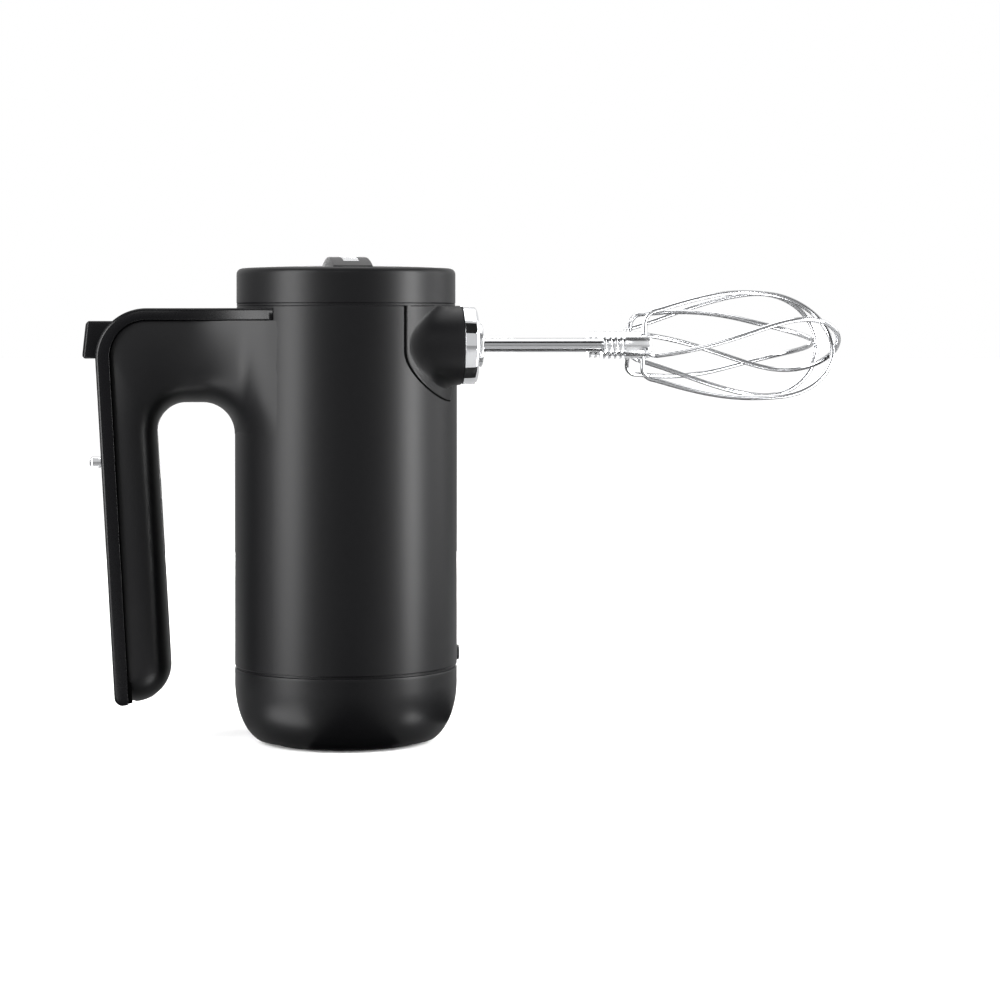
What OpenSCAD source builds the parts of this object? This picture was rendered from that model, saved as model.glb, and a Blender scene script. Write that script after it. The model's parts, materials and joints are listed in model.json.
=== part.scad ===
// Cordless hand mixer: a round body that stands on its base, a handle beside it,
// and two interleaved wire beaters that run out of a collar near the top.
// Origin: centre of the base's flat underside. +Z up, +X towards the beaters.

/* [Body] */
// Outer radius of the round body
body_r = 44.3; // [44.2:0.1:44.5]
// Wall thickness of the mouldings
wall = 2.5; // [2.3:0.1:2.6]
// Height of the joint line between base cup and body
base_seam_z = 30.1; // [29.8:0.1:30.4]
// Height of the joint line under the top cap
cap_seam_z = 173.8; // [173.7:0.1:173.9]
// Width of the joint lines
seam = 0.8; // [0.6:0.1:0.9]
// Height of the top cap's crown
cap_top_z = 189.3; // [189:0.1:190]

/* [Handle] */
// Half width of the handle
grip_half_w = 16; // [15:0.5:17]
// Lean of the grip away from upright, in degrees
lean = 3.2; // [3.1:0.1:3.3]
// Radius of the handle's upper outer corner
corner_r = 19.8; // [19.6:0.1:20]
// Height of the handle's top face
handle_top_z = 172.4; // [172.3:0.1:172.5]
// Thickness of the cover strap
strap_t = 4.8; // [4.7:0.1:4.9]

/* [Drive] */
// Height of the beater axes
drive_z = 157.8; // [157.7:0.1:157.9]
// Half the distance between the beater axes
drive_y = 18; // [18:0.1:18]
// Teeth on each worm wheel
wheel_teeth = 27; // [27:1:27]
// Radius of a drive spindle
spindle_r = 5; // [4.9:0.1:5]
// Radius of a beater shaft
shaft_r = 2.7; // [2.6:0.1:2.7]

/* [Beaters] */
// Greatest radius of a beater's cage, on the wire's centre line
cage_r = 22.4; // [21.5:0.1:22.6]
// Radius of the beater wire
wire_r = 1; // [0.9:0.1:1.1]
// Twist of the cage from end to end, in degrees
cage_twist = 50; // [40:1:60]

/* [Travel] */
// Travel of the eject button
eject_travel = 5; // [4:0.5:5]
// Travel of the speed slider
slider_travel = 24; // [20:1:24]

/* [Hidden] */
$fn = 64;

LEFT = -1;
RIGHT = 1;
e = 0.01;                       // keeps cutting faces off each other
far = 400;                      // longer than the whole mixer

body_in_r = body_r - wall;
house_z0 = base_seam_z + seam / 2;
house_z1 = cap_seam_z - seam / 2;
spigot_r = body_in_r - 0.1;
spigot_t = 2;

// Handle outline, in the plane of the handle (X across, Z up)
corner_x = -79.2;               // centre of the upper corner's arcs
corner_z = handle_top_z - corner_r;
strap_in_r = corner_r - strap_t - 0.8;
shell_top_z = handle_top_z - strap_t;
shell_corner_z = shell_top_z - strap_in_r;
slope = tan(lean);
foot_x = -84.1;                 // centre of the grip's lower rounded end
foot_z = 31.7;
foot_r = 14.8;
foot_low_z = foot_z - foot_r;
gap_r = 11;                     // finger gap: upper corner by the grip
gap_x = -63.6;
gap_z = 124.1;
gap_body_r = 12.6;              // finger gap: upper corner by the body
gap_body_x = -57;
gap_body_z = 122.5;
bridge_z = gap_z + gap_r;
flare_x = -76;                  // where the handle starts to flare into the body
flare_r = 76;
flare_end_x = -29;
strap_end_x = -30.6;
strap_on_body_r = body_r - 1.5;

// Collar
collar_hh = 15.6;               // half height of the collar's outline
collar_hl = 37;                 // half length of the collar's outline
collar_x = 45;                  // front face of the pod
bezel_x = 50.5;
boss_x = 52.5;
boss_hh = 8.6;
flange_t = 1.2;
flange_hw = 39.3;
flange_low_z = 136;
flange_corner_r = 20;

// Drive
worm_lead = PI;
worm_r = 5.3;
worm_root_r = 3.4;
worm_len = 11;
wheel_tip_r = 14.4;
wheel_root_r = 12.4;
wheel_w = 6;
hub_len = 17;
motor_shaft_r = 1.6;
bush_clear = 0.05;
spindle_x0 = -14;
spindle_x1 = 52;
spindle_bore_r = shaft_r + 0.08;
bush_r = 6.5;
plunger_x0 = -23.2;
plunger_head = 2;
beater_x0 = 13;
frame_z0 = 131.2;
frame_t = 3;
frame_top_z = 172.6;
front_wall_x = 22;
front_wall_t = 4;
rear_wall_x = -13;
rear_wall_t = 3;
detent_x = 41;

// Motor
can_r = 18.5;
can_z0 = 83;
can_z1 = 131;
bell_z0 = 78;

// Beaters
hub_x0 = 100.5;
hub_x1 = 120;
hub_r = 5.4;
wire_exit_x = 116.5;
bulge_x = 171;
tip_outer = 25.5;
tip_inner = 23.3;
bend_r = 5;
neck_r = 14.4;

// Battery
cell_r = 9.2;
cell_len = 65.2;
cell_z = 7.6;
cell_ring_r = 13;

// Charge socket
socket_z = 34.4;
socket_bore_r = 1.75;
socket_face_x = 45.2;

// Screws that hold the halves together: [x, z, depth of the head's seat]
SCREWS = [[-33, 50, 20.5], [-33, 118, 20.5], [33, 74, 20.5], [33, 118, 20.5],
          [-80, 56, 11], [-80, 147.6, 11]];

// ---------- shared shapes ----------

// Points along an arc, from angle a0 to angle a1 in n steps
function arc(cx, cy, r, a0, a1, n = 12) =
    [for (i = [0:n]) let (a = a0 + (a1 - a0) * i / n) [cx + r * cos(a), cy + r * sin(a)]];

function unit(v) = v / norm(v);

// Extrudes a 2D (X, Z) outline along Y, from y0 to y1
module along_y(y0, y1) {
    translate([0, y1, 0]) rotate([90, 0, 0]) linear_extrude(height = y1 - y0) children();
}

// Extrudes a 2D (Y, Z) outline along X, from x0 to x1
module along_x(x0, x1) {
    translate([x0, 0, 0]) rotate([90, 0, 90]) linear_extrude(height = x1 - x0) children();
}

// Round rod along X, Y or Z
module rod_x(x0, x1, r, y = 0, z = 0) {
    translate([x0, y, z]) rotate([0, 90, 0]) cylinder(r = r, h = x1 - x0);
}
module rod_y(y0, y1, r, x = 0, z = 0) {
    translate([x, y1, z]) rotate([90, 0, 0]) cylinder(r = r, h = y1 - y0);
}
module rod_z(z0, z1, r, x = 0, y = 0) {
    translate([x, y, z0]) cylinder(r = r, h = z1 - z0);
}

// Box from its lowest to its highest corner
module block(low, high) {
    translate(low) cube(high - low);
}

// Outline with two straight sides and two round ends, lying along the first axis
module stadium(half_len, half_height) {
    square([2 * (half_len - half_height), 2 * half_height], center = true);
    for (s = [-1, 1]) translate([s * (half_len - half_height), 0]) circle(r = half_height);
}

// Rectangle with rounded corners, centred
module soft_square(w, h, r) {
    square([w - 2 * r, h], center = true);
    square([w, h - 2 * r], center = true);
    for (sx = [-1, 1], sy = [-1, 1])
        translate([sx * (w / 2 - r), sy * (h / 2 - r)]) circle(r = r);
}

// Round wire of radius r through the points; refs are directions roughly across the wire
module swept_wire(points, refs, r, sides = 8) {
    n = len(points);
    rings = [for (i = [0:n - 1])
        let (t = unit(points[min(i + 1, n - 1)] - points[max(i - 1, 0)]),
             a = unit(refs[i] - (refs[i] * t) * t),
             b = cross(t, a))
        for (j = [0:sides - 1])
            points[i] + r * (cos(360 * j / sides) * a + sin(360 * j / sides) * b)];
    walls = [for (i = [0:n - 2], j = [0:sides - 1])
        let (k = (j + 1) % sides)
        [i * sides + j, (i + 1) * sides + j, (i + 1) * sides + k, i * sides + k]];
    first = [for (j = [0:sides - 1]) j];
    last = [for (j = [sides - 1:-1:0]) (n - 1) * sides + j];
    polyhedron(points = rings, faces = concat(walls, [first, last]), convexity = 8);
}

// ---------- handle ----------

// Shell outline under the strap, moved inwards by i; the cavity runs on into the body
module shell_outline(i = 0, cavity = false) {
    top = shell_top_z - i;
    body_side = cavity
        ? [[-24, bridge_z + i], [-24, top]]
        : [[-34, bridge_z + i], [-34, top]];
    polygon(concat(
        arc(corner_x, shell_corner_z, strap_in_r - i, 90, 180),
        [[corner_x - strap_in_r + slope * (shell_corner_z - foot_low_z) + i, foot_low_z + i]],
        arc(foot_x, foot_z, foot_r - i, cavity ? -75 : -90, 0),
        arc(gap_x, gap_z, gap_r + i, 180, 90),
        body_side));
}

// Rounded gusset under the bridge, where it meets the body
module gusset_outline() {
    polygon(concat([[gap_body_x, bridge_z + 1]],
                   arc(gap_body_x, gap_body_z, gap_body_r, 90, 0),
                   [[-42, gap_body_z], [-42, bridge_z + 1]]));
}

// Outline of the cover strap, from the body over the corner and down to the grip's end
module strap_outline() {
    gap = 0.1;
    end_r = 3.5;
    end_z = foot_low_z + end_r;
    outer_x = corner_x - corner_r + slope * (corner_z - end_z);
    inner_r = strap_in_r + gap;
    inner_x = corner_x - inner_r + slope * (shell_corner_z - foot_low_z);
    polygon(concat(
        [[strap_end_x - 0.1, handle_top_z]],
        arc(corner_x, corner_z, corner_r, 90, 180),
        arc(outer_x + end_r, end_z, end_r, 180, 270, 8),
        [[inner_x, foot_low_z]],
        arc(corner_x, shell_corner_z, inner_r, 180, 90),
        [[strap_end_x - 0.1, shell_top_z + gap]]));
}

// Solid that the strap and both handle shells are cut from, moved inwards by i
module handle_blank(i = 0) {
    // grip: a leaning bar with rounded edges
    grip_x0 = corner_x - corner_r;
    grip_t = 25.4;
    translate([grip_x0, 0, corner_z]) rotate([0, -lean, 0])
        translate([grip_t / 2, 0, -150]) linear_extrude(height = 180)
            soft_square(grip_t + (i > 0 ? -i : 0), 2 * (grip_half_w - i), 7 - i);
    // bridge: flares into the round body
    linear_extrude(height = 200) difference() {
        translate([-90, -40]) square([90 + (i > 0 ? -24 : flare_end_x), 80]);
        for (s = [-1, 1]) {
            translate([flare_x, s * (grip_half_w + flare_r)]) circle(r = flare_r + i, $fn = 180);
            translate([-100, s > 0 ? grip_half_w - i : -grip_half_w + i - 50]) square([100 + flare_x, 50]);
        }
    }
}

// Places children on the strap's outer face at height z: x runs into the handle, z along it
module on_strap(z) {
    translate([corner_x - corner_r + slope * (corner_z - z), 0, z]) rotate([0, -lean, 0]) children();
}

button_z0 = 152.5;
button_z1 = 167.5;
button_half_w = 8;
button_gap = 0.3;
slider_z = 111.85;
carriage_half_len = 9;

module button_opening() {
    block([-115, -button_half_w - button_gap, button_z0 - button_gap],
          [-84.5, button_half_w + button_gap, button_z1 + button_gap]);
}

module body_blank(r) {
    rod_z(house_z0, house_z1, r, $fn = 180);
}

// Outline of the collar's flange, seen along X
module flange_outline() {
    mid = (flange_low_z + house_z1) / 2;
    translate([0, mid]) intersection() {
        translate([0, 10]) soft_square(2 * flange_hw, house_z1 - flange_low_z + 20, flange_corner_r);
        square([100, house_z1 - flange_low_z], center = true);
    }
}

module housing_shell() {
    difference() {
        union() {
            body_blank(body_r);
            intersection() {
                handle_blank();
                along_y(-40, 40) shell_outline();
            }
            along_y(-12, 12) gusset_outline();
        }
        translate([0, 0, -1]) rod_z(0, far, body_in_r, $fn = 180);
        intersection() {
            handle_blank(wall);
            along_y(-40, 40) shell_outline(wall, cavity = true);
        }
        button_opening();
        // slot for the slider's drive pin
        on_strap(slider_z) block([4, -1.8, -2.5], [12, 1.8, slider_travel + 2.5]);
        // step that the strap's end sits in
        difference() {
            block([-60, -50, shell_top_z], [strap_end_x, 50, handle_top_z + 0.1]);
            rod_z(shell_top_z - 1, handle_top_z + 1, strap_on_body_r, $fn = 180);
        }
        // step that the collar's flange sits in, and the way through for the spindles
        difference() {
            along_x(10, 60) flange_outline();
            rod_z(flange_low_z - 1, house_z1 + 1, body_r - flange_t, $fn = 180);
        }
        translate([0, 0, drive_z]) along_x(30, 60) stadium(29, 11);
        rod_x(30, 60, 3.1, 0, socket_z);
    }
    // ribs that guide the eject rod, and the ledge under the gear frame
    difference() {
        intersection() {
            block([-70, -40, 148], [-68, 40, shell_top_z - wall / 2]);
            handle_blank(wall / 2);
        }
        rod_x(-75, -60, 2.75, 0, drive_z);
    }
    intersection() {
        difference() {
            rod_z(frame_z0 - 2.5, frame_z0 - 0.1, body_in_r + 0.5, $fn = 180);
            rod_z(frame_z0 - 3, frame_z0, body_in_r - 3.5, $fn = 180);
        }
        block([-18, -50, 0], [18, 50, far]);
    }
}

// One half of the housing, with its screw bosses
module housing_half(side) {
    boss_r = 3.8;
    difference() {
        union() {
            intersection() {
                housing_shell();
                translate([-200, side > 0 ? 0 : -far, 0]) cube([far, far, far]);
            }
            for (s = SCREWS) intersection() {
                rod_y(side > 0 ? 0 : -30, side > 0 ? 30 : 0, boss_r, s[0], s[1]);
                if (s[2] > 15) body_blank(body_in_r + 0.5);
                else block([-100, 1 - grip_half_w, 0], [0, grip_half_w - 1, far]);
            }
        }
        for (s = SCREWS) {
            if (side > 0) {
                rod_y(-1, 40, 1.6, s[0], s[1]);
                rod_y(s[2], 40, 3.1, s[0], s[1]);
            } else {
                rod_y(-s[2] + 6, 1, 1.4, s[0], s[1]);
            }
        }
    }
}

module housing_left() { color("#232323") housing_half(LEFT); }
module housing_right() { color("#232323") housing_half(RIGHT); }

module housing_screws() {
    color("silver") for (s = SCREWS) {
        rod_y(-s[2] + 8, s[2], 1.4, s[0], s[1]);
        difference() {
            rod_y(s[2], s[2] + 2.2, 2.9, s[0], s[1]);
            for (a = [0, 90])
                translate([s[0], s[2] + 2.2, s[1]]) rotate([0, a, 0]) cube([3.4, 2, 0.8], center = true);
        }
    }
}

module handle_strap() {
    color("#161616") difference() {
        union() {
            intersection() {
                handle_blank();
                along_y(-40, 40) strap_outline();
            }
            intersection() {
                rod_z(shell_top_z + 0.1, handle_top_z, body_r, $fn = 180);
                block([-60, -50, 0], [strap_end_x - 0.1, 50, far]);
            }
        }
        rod_z(0, far, strap_on_body_r + 0.05, $fn = 180);
        button_opening();
        // slot for the slider's stem, and the pocket behind it for the carriage
        on_strap(slider_z) {
            block([-5, -2.6, -2.4], [10, 2.6, slider_travel + 2.4]);
            block([2.4, -9.4, -carriage_half_len - 1], [10, 9.4, slider_travel + carriage_half_len + 1]);
        }
    }
}

// ---------- cap, base, collar ----------

cap_r = 43.7;
cap_z0 = cap_seam_z + seam / 2;
cap_edge_r = 2.4;
cap_edge_z = cap_top_z - 0.9 - cap_edge_r;
cap_dome_r = 900;

// Section of the cap's outside: side, rounded edge and shallow dome
module cap_section(i = 0) {
    r = cap_r - i;
    polygon(concat([[0, cap_z0 - (i > 0 ? 10 : 0)], [r, cap_z0 - (i > 0 ? 10 : 0)]],
                   arc(cap_r - cap_edge_r - i, cap_edge_z - i, cap_edge_r, 0, 80, 8),
                   [for (x = [34:-8.5:0]) [x, cap_top_z - i - cap_dome_r + sqrt(cap_dome_r * cap_dome_r - x * x)]]));
}

module top_cap() {
    color("#232323") {
        difference() {
            rotate_extrude($fn = 180) cap_section();
            rotate_extrude($fn = 180) cap_section(2.4);
        }
        difference() {
            rod_z(170.6, cap_z0 + 2, spigot_r, $fn = 180);
            rod_z(170, cap_z0 + 3, spigot_r - spigot_t, $fn = 180);
        }
    }
}

bar_arch_r = 200;
bar_top_z = 193.2;
strip_hw = 3;
strip_t = 0.8;

// Arched bar across the cap, between two arcs that share a centre
module bar_blank(drop, x_half_top, x_half_low) {
    intersection() {
        along_x(-15, 15) intersection() {
            translate([0, bar_top_z - bar_arch_r]) circle(r = bar_arch_r - drop, $fn = 360);
            translate([-41, 180]) square([82, 20]);
        }
        along_y(-41, 41) polygon([[-x_half_low, 187], [x_half_low, 187],
                                  [x_half_top, bar_top_z + 0.2], [-x_half_top, bar_top_z + 0.2]]);
    }
}

module cap_bar() {
    color("#1c1c1c") difference() {
        bar_blank(0, 7.85, 9.5);
        rotate_extrude($fn = 180) cap_section();
        difference() {
            along_y(-31, 31) translate([-strip_hw, 186]) square([2 * strip_hw, 10]);
            translate([0, 0, bar_top_z - bar_arch_r]) rotate([0, 90, 0])
                cylinder(r = bar_arch_r - strip_t, h = 40, center = true, $fn = 360);
        }
    }
}

module badge_strip() {
    color("silver") intersection() {
        difference() {
            bar_blank(0, 7.85, 9.5);
            translate([0, 0, bar_top_z - bar_arch_r]) rotate([0, 90, 0])
                cylinder(r = bar_arch_r - strip_t, h = 40, center = true, $fn = 360);
        }
        along_y(-31, 31) translate([-strip_hw, 186]) square([2 * strip_hw, 10]);
    }
}

cup_foot_z = 1.6;
cup_corner_a = 13;
cup_corner_b = 24;
cup_flat_r = body_r - cup_corner_a;

// Section of the base cup: an elliptical corner between the flat and the side
module cup_section(i = 0) {
    low = cup_foot_z + i;
    a0 = asin((cup_corner_b - cup_foot_z) / cup_corner_b);
    polygon(concat([[0, low]],
        [for (k = [0:12]) let (a = a0 * (1 - k / 12))
            [cup_flat_r + cup_corner_a * cos(a) - i, max(low, cup_corner_b * (1 - sin(a)) + i * 0.6)]],
        [[body_r - i, base_seam_z + (i > 0 ? 10 : -seam / 2)], [0, base_seam_z + (i > 0 ? 10 : -seam / 2)]]));
}

BASE_SCREW_R = 25;

module base_cup() {
    color("#232323") difference() {
        union() {
            difference() {
                rotate_extrude($fn = 180) cup_section();
                rotate_extrude($fn = 180) cup_section(wall);
            }
            difference() {
                union() {
                    rod_z(base_seam_z - 3, 35.5, spigot_r, $fn = 180);
                    rod_z(base_seam_z - 3, base_seam_z - 0.8, body_in_r + 0.3, $fn = 180);
                }
                rod_z(base_seam_z - 4, 36, spigot_r - spigot_t, $fn = 180);
            }
        }
        block([30, -7, house_z0 - seam], [41.9, 7, 40]);
        for (a = [0, 120, 240]) rotate([0, 0, a]) {
            rod_z(0, 10, 1.7, BASE_SCREW_R);
            rod_z(0, 2.8, 3.1, BASE_SCREW_R);
        }
    }
}

module base_pad() {
    color("#101010") rotate_extrude($fn = 128)
        polygon([[0, 0], [29.8, 0], [30.8, 1], [30.8, cup_foot_z], [0, cup_foot_z]]);
}

module base_screws() {
    color("silver") for (a = [0, 120, 240]) rotate([0, 0, a]) {
        rod_z(2.8, 14, 1.4, BASE_SCREW_R);
        difference() {
            rod_z(1.7, 2.8, 2.9, BASE_SCREW_R);
            translate([BASE_SCREW_R, 0, 1.7]) cube([3.4, 0.8, 1], center = true);
        }
    }
}

module collar_pod() {
    color("#1b1b1b") difference() {
        union() {
            intersection() {
                along_x(10, 60) flange_outline();
                rod_z(flange_low_z - 1, house_z1, body_r, $fn = 180);
            }
            translate([0, 0, drive_z]) along_x(20, collar_x) stadium(collar_hl, collar_hh);
        }
        rod_z(0, far, body_r - flange_t + 0.05, $fn = 180);
        translate([0, 0, drive_z]) along_x(20, collar_x - wall)
            stadium(collar_hl - wall, collar_hh - wall);
        for (s = [LEFT, RIGHT]) rod_x(30, 60, bush_r, s * drive_y, drive_z);
    }
}

module collar_bezel() {
    lip = 1.2;
    color("#d8d8d8") difference() {
        translate([0, 0, drive_z]) union() {
            along_x(collar_x, bezel_x - lip) stadium(collar_hl - 0.1, collar_hh - 0.1);
            along_x(bezel_x - lip - e, bezel_x) stadium(collar_hl - 1.1, collar_hh - 1.1);
        }
        translate([0, 0, drive_z]) along_x(collar_x - 1, collar_x + 2.6)
            stadium(collar_hl - 3, collar_hh - 3);
        translate([0, 0, drive_z]) along_x(collar_x - 1, 60) stadium(drive_y + 6.9, 6.9);
    }
}

module collar_boss() {
    color("#c8c8c8") difference() {
        translate([0, 0, drive_z]) union() {
            along_x(bezel_x, boss_x) stadium(drive_y + boss_hh, boss_hh);
            along_x(collar_x + 0.1, bezel_x) stadium(drive_y + 6.85, 6.85);
        }
        for (s = [LEFT, RIGHT]) rod_x(40, 60, spindle_r + 0.3, s * drive_y, drive_z);
    }
}

// ---------- controls ----------

module eject_button() {
    c = 1;
    face_top_x = -102.4;
    face_low_x = -104.4;
    tail_x = -91.2;
    color("#1a1a1a") intersection() {
        along_y(-button_half_w, button_half_w) polygon([
            [tail_x, button_z0], [tail_x, button_z1], [face_top_x + c, button_z1],
            [face_top_x, button_z1 - c], [face_low_x, button_z0 + c], [face_low_x + c, button_z0]]);
        linear_extrude(height = 200) polygon([
            [tail_x, -button_half_w], [tail_x, button_half_w], [face_top_x + c, button_half_w],
            [face_low_x, button_half_w - 2], [face_low_x, 2 - button_half_w],
            [face_top_x + c, -button_half_w]]);
    }
}

module eject_rod() {
    color("#b0b0b0") {
        rod_x(-91.2, -26, 2.5, 0, drive_z);
        rod_x(-91.2, -89.4, 5.5, 0, drive_z);
    }
}

module eject_plate() {
    color("#e0e0dc") along_x(-26, -23.5) translate([0, drive_z]) soft_square(46, 12, 3);
}

spring_turns = 8;
spring_steps = 14;

module eject_spring() {
    x0 = -89;
    x1 = -70.5;
    n = spring_turns * spring_steps;
    color("#c0c0c0") swept_wire(
        [for (i = [0:n]) let (a = 360 * i / spring_steps)
            [x0 + (x1 - x0) * i / n, 4 * cos(a), drive_z + 4 * sin(a)]],
        [for (i = [0:n]) let (a = 360 * i / spring_steps) [0, cos(a), sin(a)]], 0.4, 6);
}

// Thumb tab of the speed control, with the stem that passes through the strap
module speed_slider() {
    h = 2.05;
    color("#d0d0d0") on_strap(slider_z) {
        along_y(-8, 8) polygon([[-0.3, -h], [-0.3, h], [-3.9, h], [-4.6, h - 0.7], [-4.6, 0.7 - h], [-3.9, -h]]);
        block([-0.3 - e, -2.2, -1.8], [2.7, 2.2, 1.8]);
    }
}

module slider_carriage() {
    color("#e8e8e4") on_strap(slider_z) {
        block([2.7, -8.8, -carriage_half_len], [4.9, 8.8, carriage_half_len]);
        block([4.8, -1.2, -1.2], [11.6, 1.2, 1.2]);
    }
}

module slide_pot() {
    color("#3a3a3a") on_strap(slider_z) difference() {
        block([10.8, -4, -6], [16.6, 4, slider_travel + 6]);
        block([10, -1.6, -2.4], [14, 1.6, slider_travel + 2.4]);
    }
}

module control_board() {
    color("#1f6b3a") on_strap(slider_z) difference() {
        union() {
            block([16.6, -10, -38], [18.2, 10, slider_travel + 6]);
            block([12.6, -7, -34], [16.7, 1, -27]);
            block([13.6, 2, -36], [16.7, 8, -20]);
            block([14.8, -5, -20], [16.7, 3, -12]);
        }
        rod_x(10, 30, 1.6, 7, -10);
    }
}

// ---------- motor ----------

module motor_can() {
    color("#b8b8b8") difference() {
        rod_z(can_z0, can_z1, can_r);
        rod_z(can_z0 - 1, can_z1 - 1.5, can_r - 1.2);
        rod_z(can_z1 - 5, can_z1 + 5, 4);
        for (s = [-1, 1]) rod_z(can_z1 - 5, can_z1 + 5, 1.5, 0, s * 12.5);
    }
}

module motor_end_bell() {
    color("#f0ede4") difference() {
        union() {
            rod_z(bell_z0, can_z0, can_r);
            rod_z(can_z0 - 1, can_z0 + 3, can_r - 1.25);
        }
        rod_z(can_z0 - 2, can_z0 + 5, can_r - 3.5);
        rod_z(bell_z0 - 1, can_z0, 3.5);
        for (s = [-1, 1]) block([s * 12 - 1.5, -2.5, bell_z0 - 1], [s * 12 + 1.5, 2.5, can_z0 - 1]);
    }
}

module motor_magnets() {
    color("#3c3c40") intersection() {
        difference() {
            rod_z(92, 127, can_r - 1.25);
            rod_z(91, 128, 14.8);
        }
        union() for (s = [-1, 1]) translate([0, 0, 90]) linear_extrude(height = 40)
            polygon([[0, 0], [s * 30, -30], [s * 60, 0], [s * 30, 30]]);
    }
}

module motor_brushes() {
    color("#2a2a2a") for (s = [-1, 1])
        block(s > 0 ? [4.15, -2, 88.5] : [-11, -2, 88.5], s > 0 ? [11, 2, 92] : [-4.15, 2, 92]);
}

module motor_bushes() {
    color("#b08d57") {
        for (z = [[bell_z0 - 1.5, can_z0 - 1.5, 3.5], [can_z1 - 2.5, can_z1 + 2.5, 4],
                  [frame_top_z - 4.2, frame_top_z, 3.5]])
            difference() {
                rod_z(z[0], z[1], z[2]);
                rod_z(z[0] - 1, z[1] + 1, motor_shaft_r + bush_clear);
            }
    }
}

module motor_shaft() { color("#c8c8c8") rod_z(77, 171, motor_shaft_r); }

SLOTS = 5;

module armature_stack() {
    color("#77777c") difference() {
        rod_z(98, 124, 14.2);
        rod_z(97, 125, motor_shaft_r);
        for (k = [0:SLOTS - 1]) rotate([0, 0, 360 * k / SLOTS]) {
            block([5, -3.4, 97], [11.6, 3.4, 125]);
            block([11, -1, 97], [15, 1, 125]);
        }
    }
}

module armature_windings() {
    color("#b5652a") {
        for (k = [0:SLOTS - 1]) rotate([0, 0, 360 * k / SLOTS])
            block([5.4, -3.1, 97.4], [11.3, 3.1, 124.6]);
        for (z = [95.4, 124.1]) difference() {
            rod_z(z, z + 2.5, 11.2);
            rod_z(z - 1, z + 4, 3);
        }
    }
}

module commutator() {
    color("#c07a3c") difference() {
        rod_z(87, 94, 4);
        rod_z(86, 95, motor_shaft_r);
    }
}

// Worm: one right-hand thread; the same radius pattern turns once in each lead
module drive_worm() {
    crest_half = 0.3;
    root_half = 0.85;
    z0 = drive_z - worm_len / 2;
    crest_a = 90 - 360 * (drive_z - z0) / worm_lead;
    color("#e6e2d6") difference() {
        translate([0, 0, z0]) rotate([0, 0, crest_a])
            linear_extrude(height = worm_len, twist = -360 * worm_len / worm_lead, slices = 44)
                polygon([for (a = [-180:20:160])
                    let (w = abs(a) / 360 * worm_lead,
                         r = w < crest_half ? worm_r
                           : w > root_half ? worm_root_r
                           : worm_r - (worm_r - worm_root_r) * (w - crest_half) / (root_half - crest_half))
                    [r * cos(a), r * sin(a)]]);
        rod_z(z0 - 1, z0 + worm_len + 1, motor_shaft_r);
    }
}

module motor_screws() {
    color("silver") for (s = [-1, 1]) {
        rod_z(can_z1 - 3, frame_z0 + frame_t, 1.5, 0, s * 12.5);
        difference() {
            rod_z(frame_z0 + frame_t, frame_z0 + frame_t + 2, 2.75, 0, s * 12.5);
            translate([0, s * 12.5, frame_z0 + frame_t + 2]) cube([3.4, 0.8, 1.6], center = true);
        }
    }
}

// ---------- gear train ----------

module gear_frame() {
    color("#d9d9d2") difference() {
        union() {
            intersection() {
                rod_z(frame_z0, frame_z0 + frame_t, body_in_r - 0.3, $fn = 128);
                block([-20, -50, 0], [28, 50, far]);
            }
            for (w = [[front_wall_x, front_wall_t], [rear_wall_x, rear_wall_t]])
                block([w[0], -28, frame_z0 + 1], [w[0] + w[1], 28, frame_top_z]);
            block([rear_wall_x, -6, frame_top_z - 3.2], [front_wall_x + 1, 6, frame_top_z]);
        }
        for (s = [LEFT, RIGHT]) rod_x(-30, 40, bush_r, s * drive_y, drive_z);
        rod_z(frame_z0 - 1, frame_z0 + 5, 6);
        rod_z(frame_top_z - 5, frame_top_z + 1, 3.5);
        for (s = [-1, 1]) rod_z(frame_z0 - 1, frame_z0 + 5, 1.6, 0, s * 12.5);
    }
}

module spindle_bushes() {
    color("#b08d57") for (s = [LEFT, RIGHT])
        for (b = [[rear_wall_x, rear_wall_t], [front_wall_x, front_wall_t], [collar_x - wall, wall]])
            difference() {
                rod_x(b[0], b[0] + b[1], bush_r, s * drive_y, drive_z);
                rod_x(b[0] - 1, b[0] + b[1] + 1, spindle_r + bush_clear, s * drive_y, drive_z);
            }
}

// Worm wheel; phase turns it so that the worm's thread meets it in a gap
module worm_wheel(side, phase) {
    root_a = 4.39;
    tip_a = 1.11;
    pitch_a = 360 / wheel_teeth;
    color("#eeeae0") difference() {
        union() {
            translate([0, side * drive_y, drive_z]) along_x(-wheel_w / 2, wheel_w / 2)
                polygon([for (k = [0:wheel_teeth - 1])
                    for (p = [[wheel_root_r, -root_a], [wheel_tip_r, -tip_a],
                              [wheel_tip_r, tip_a], [wheel_root_r, root_a]])
                        let (a = phase + k * pitch_a + p[1]) [p[0] * cos(a), p[0] * sin(a)]]);
            rod_x(-hub_len / 2, hub_len / 2, 7.5, side * drive_y, drive_z);
        }
        rod_x(-20, 20, spindle_r, side * drive_y, drive_z);
    }
}

module wheel_left() { worm_wheel(LEFT, 0); }
module wheel_right() { worm_wheel(RIGHT, 180 + 180 / wheel_teeth); }

module ring_x(x, major, minor, y, z) {
    translate([x, y, z]) rotate([0, 90, 0]) rotate_extrude() translate([major, 0]) circle(r = minor, $fn = 24);
}

// Hollow spindle: the beater's shaft and the plunger share its bore
module spindle(side) {
    color("#c4c4c8") difference() {
        rod_x(spindle_x0, spindle_x1, spindle_r, side * drive_y, drive_z);
        rod_x(spindle_x0 - 1, spindle_x1 + 1, spindle_bore_r, side * drive_y, drive_z);
        block([44, side * drive_y - 0.9, drive_z - 8], [spindle_x1 + 1, side * drive_y + 0.9, drive_z + 8]);
        ring_x(detent_x, spindle_r + 0.1, 0.55, side * drive_y, drive_z);
    }
}

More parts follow.
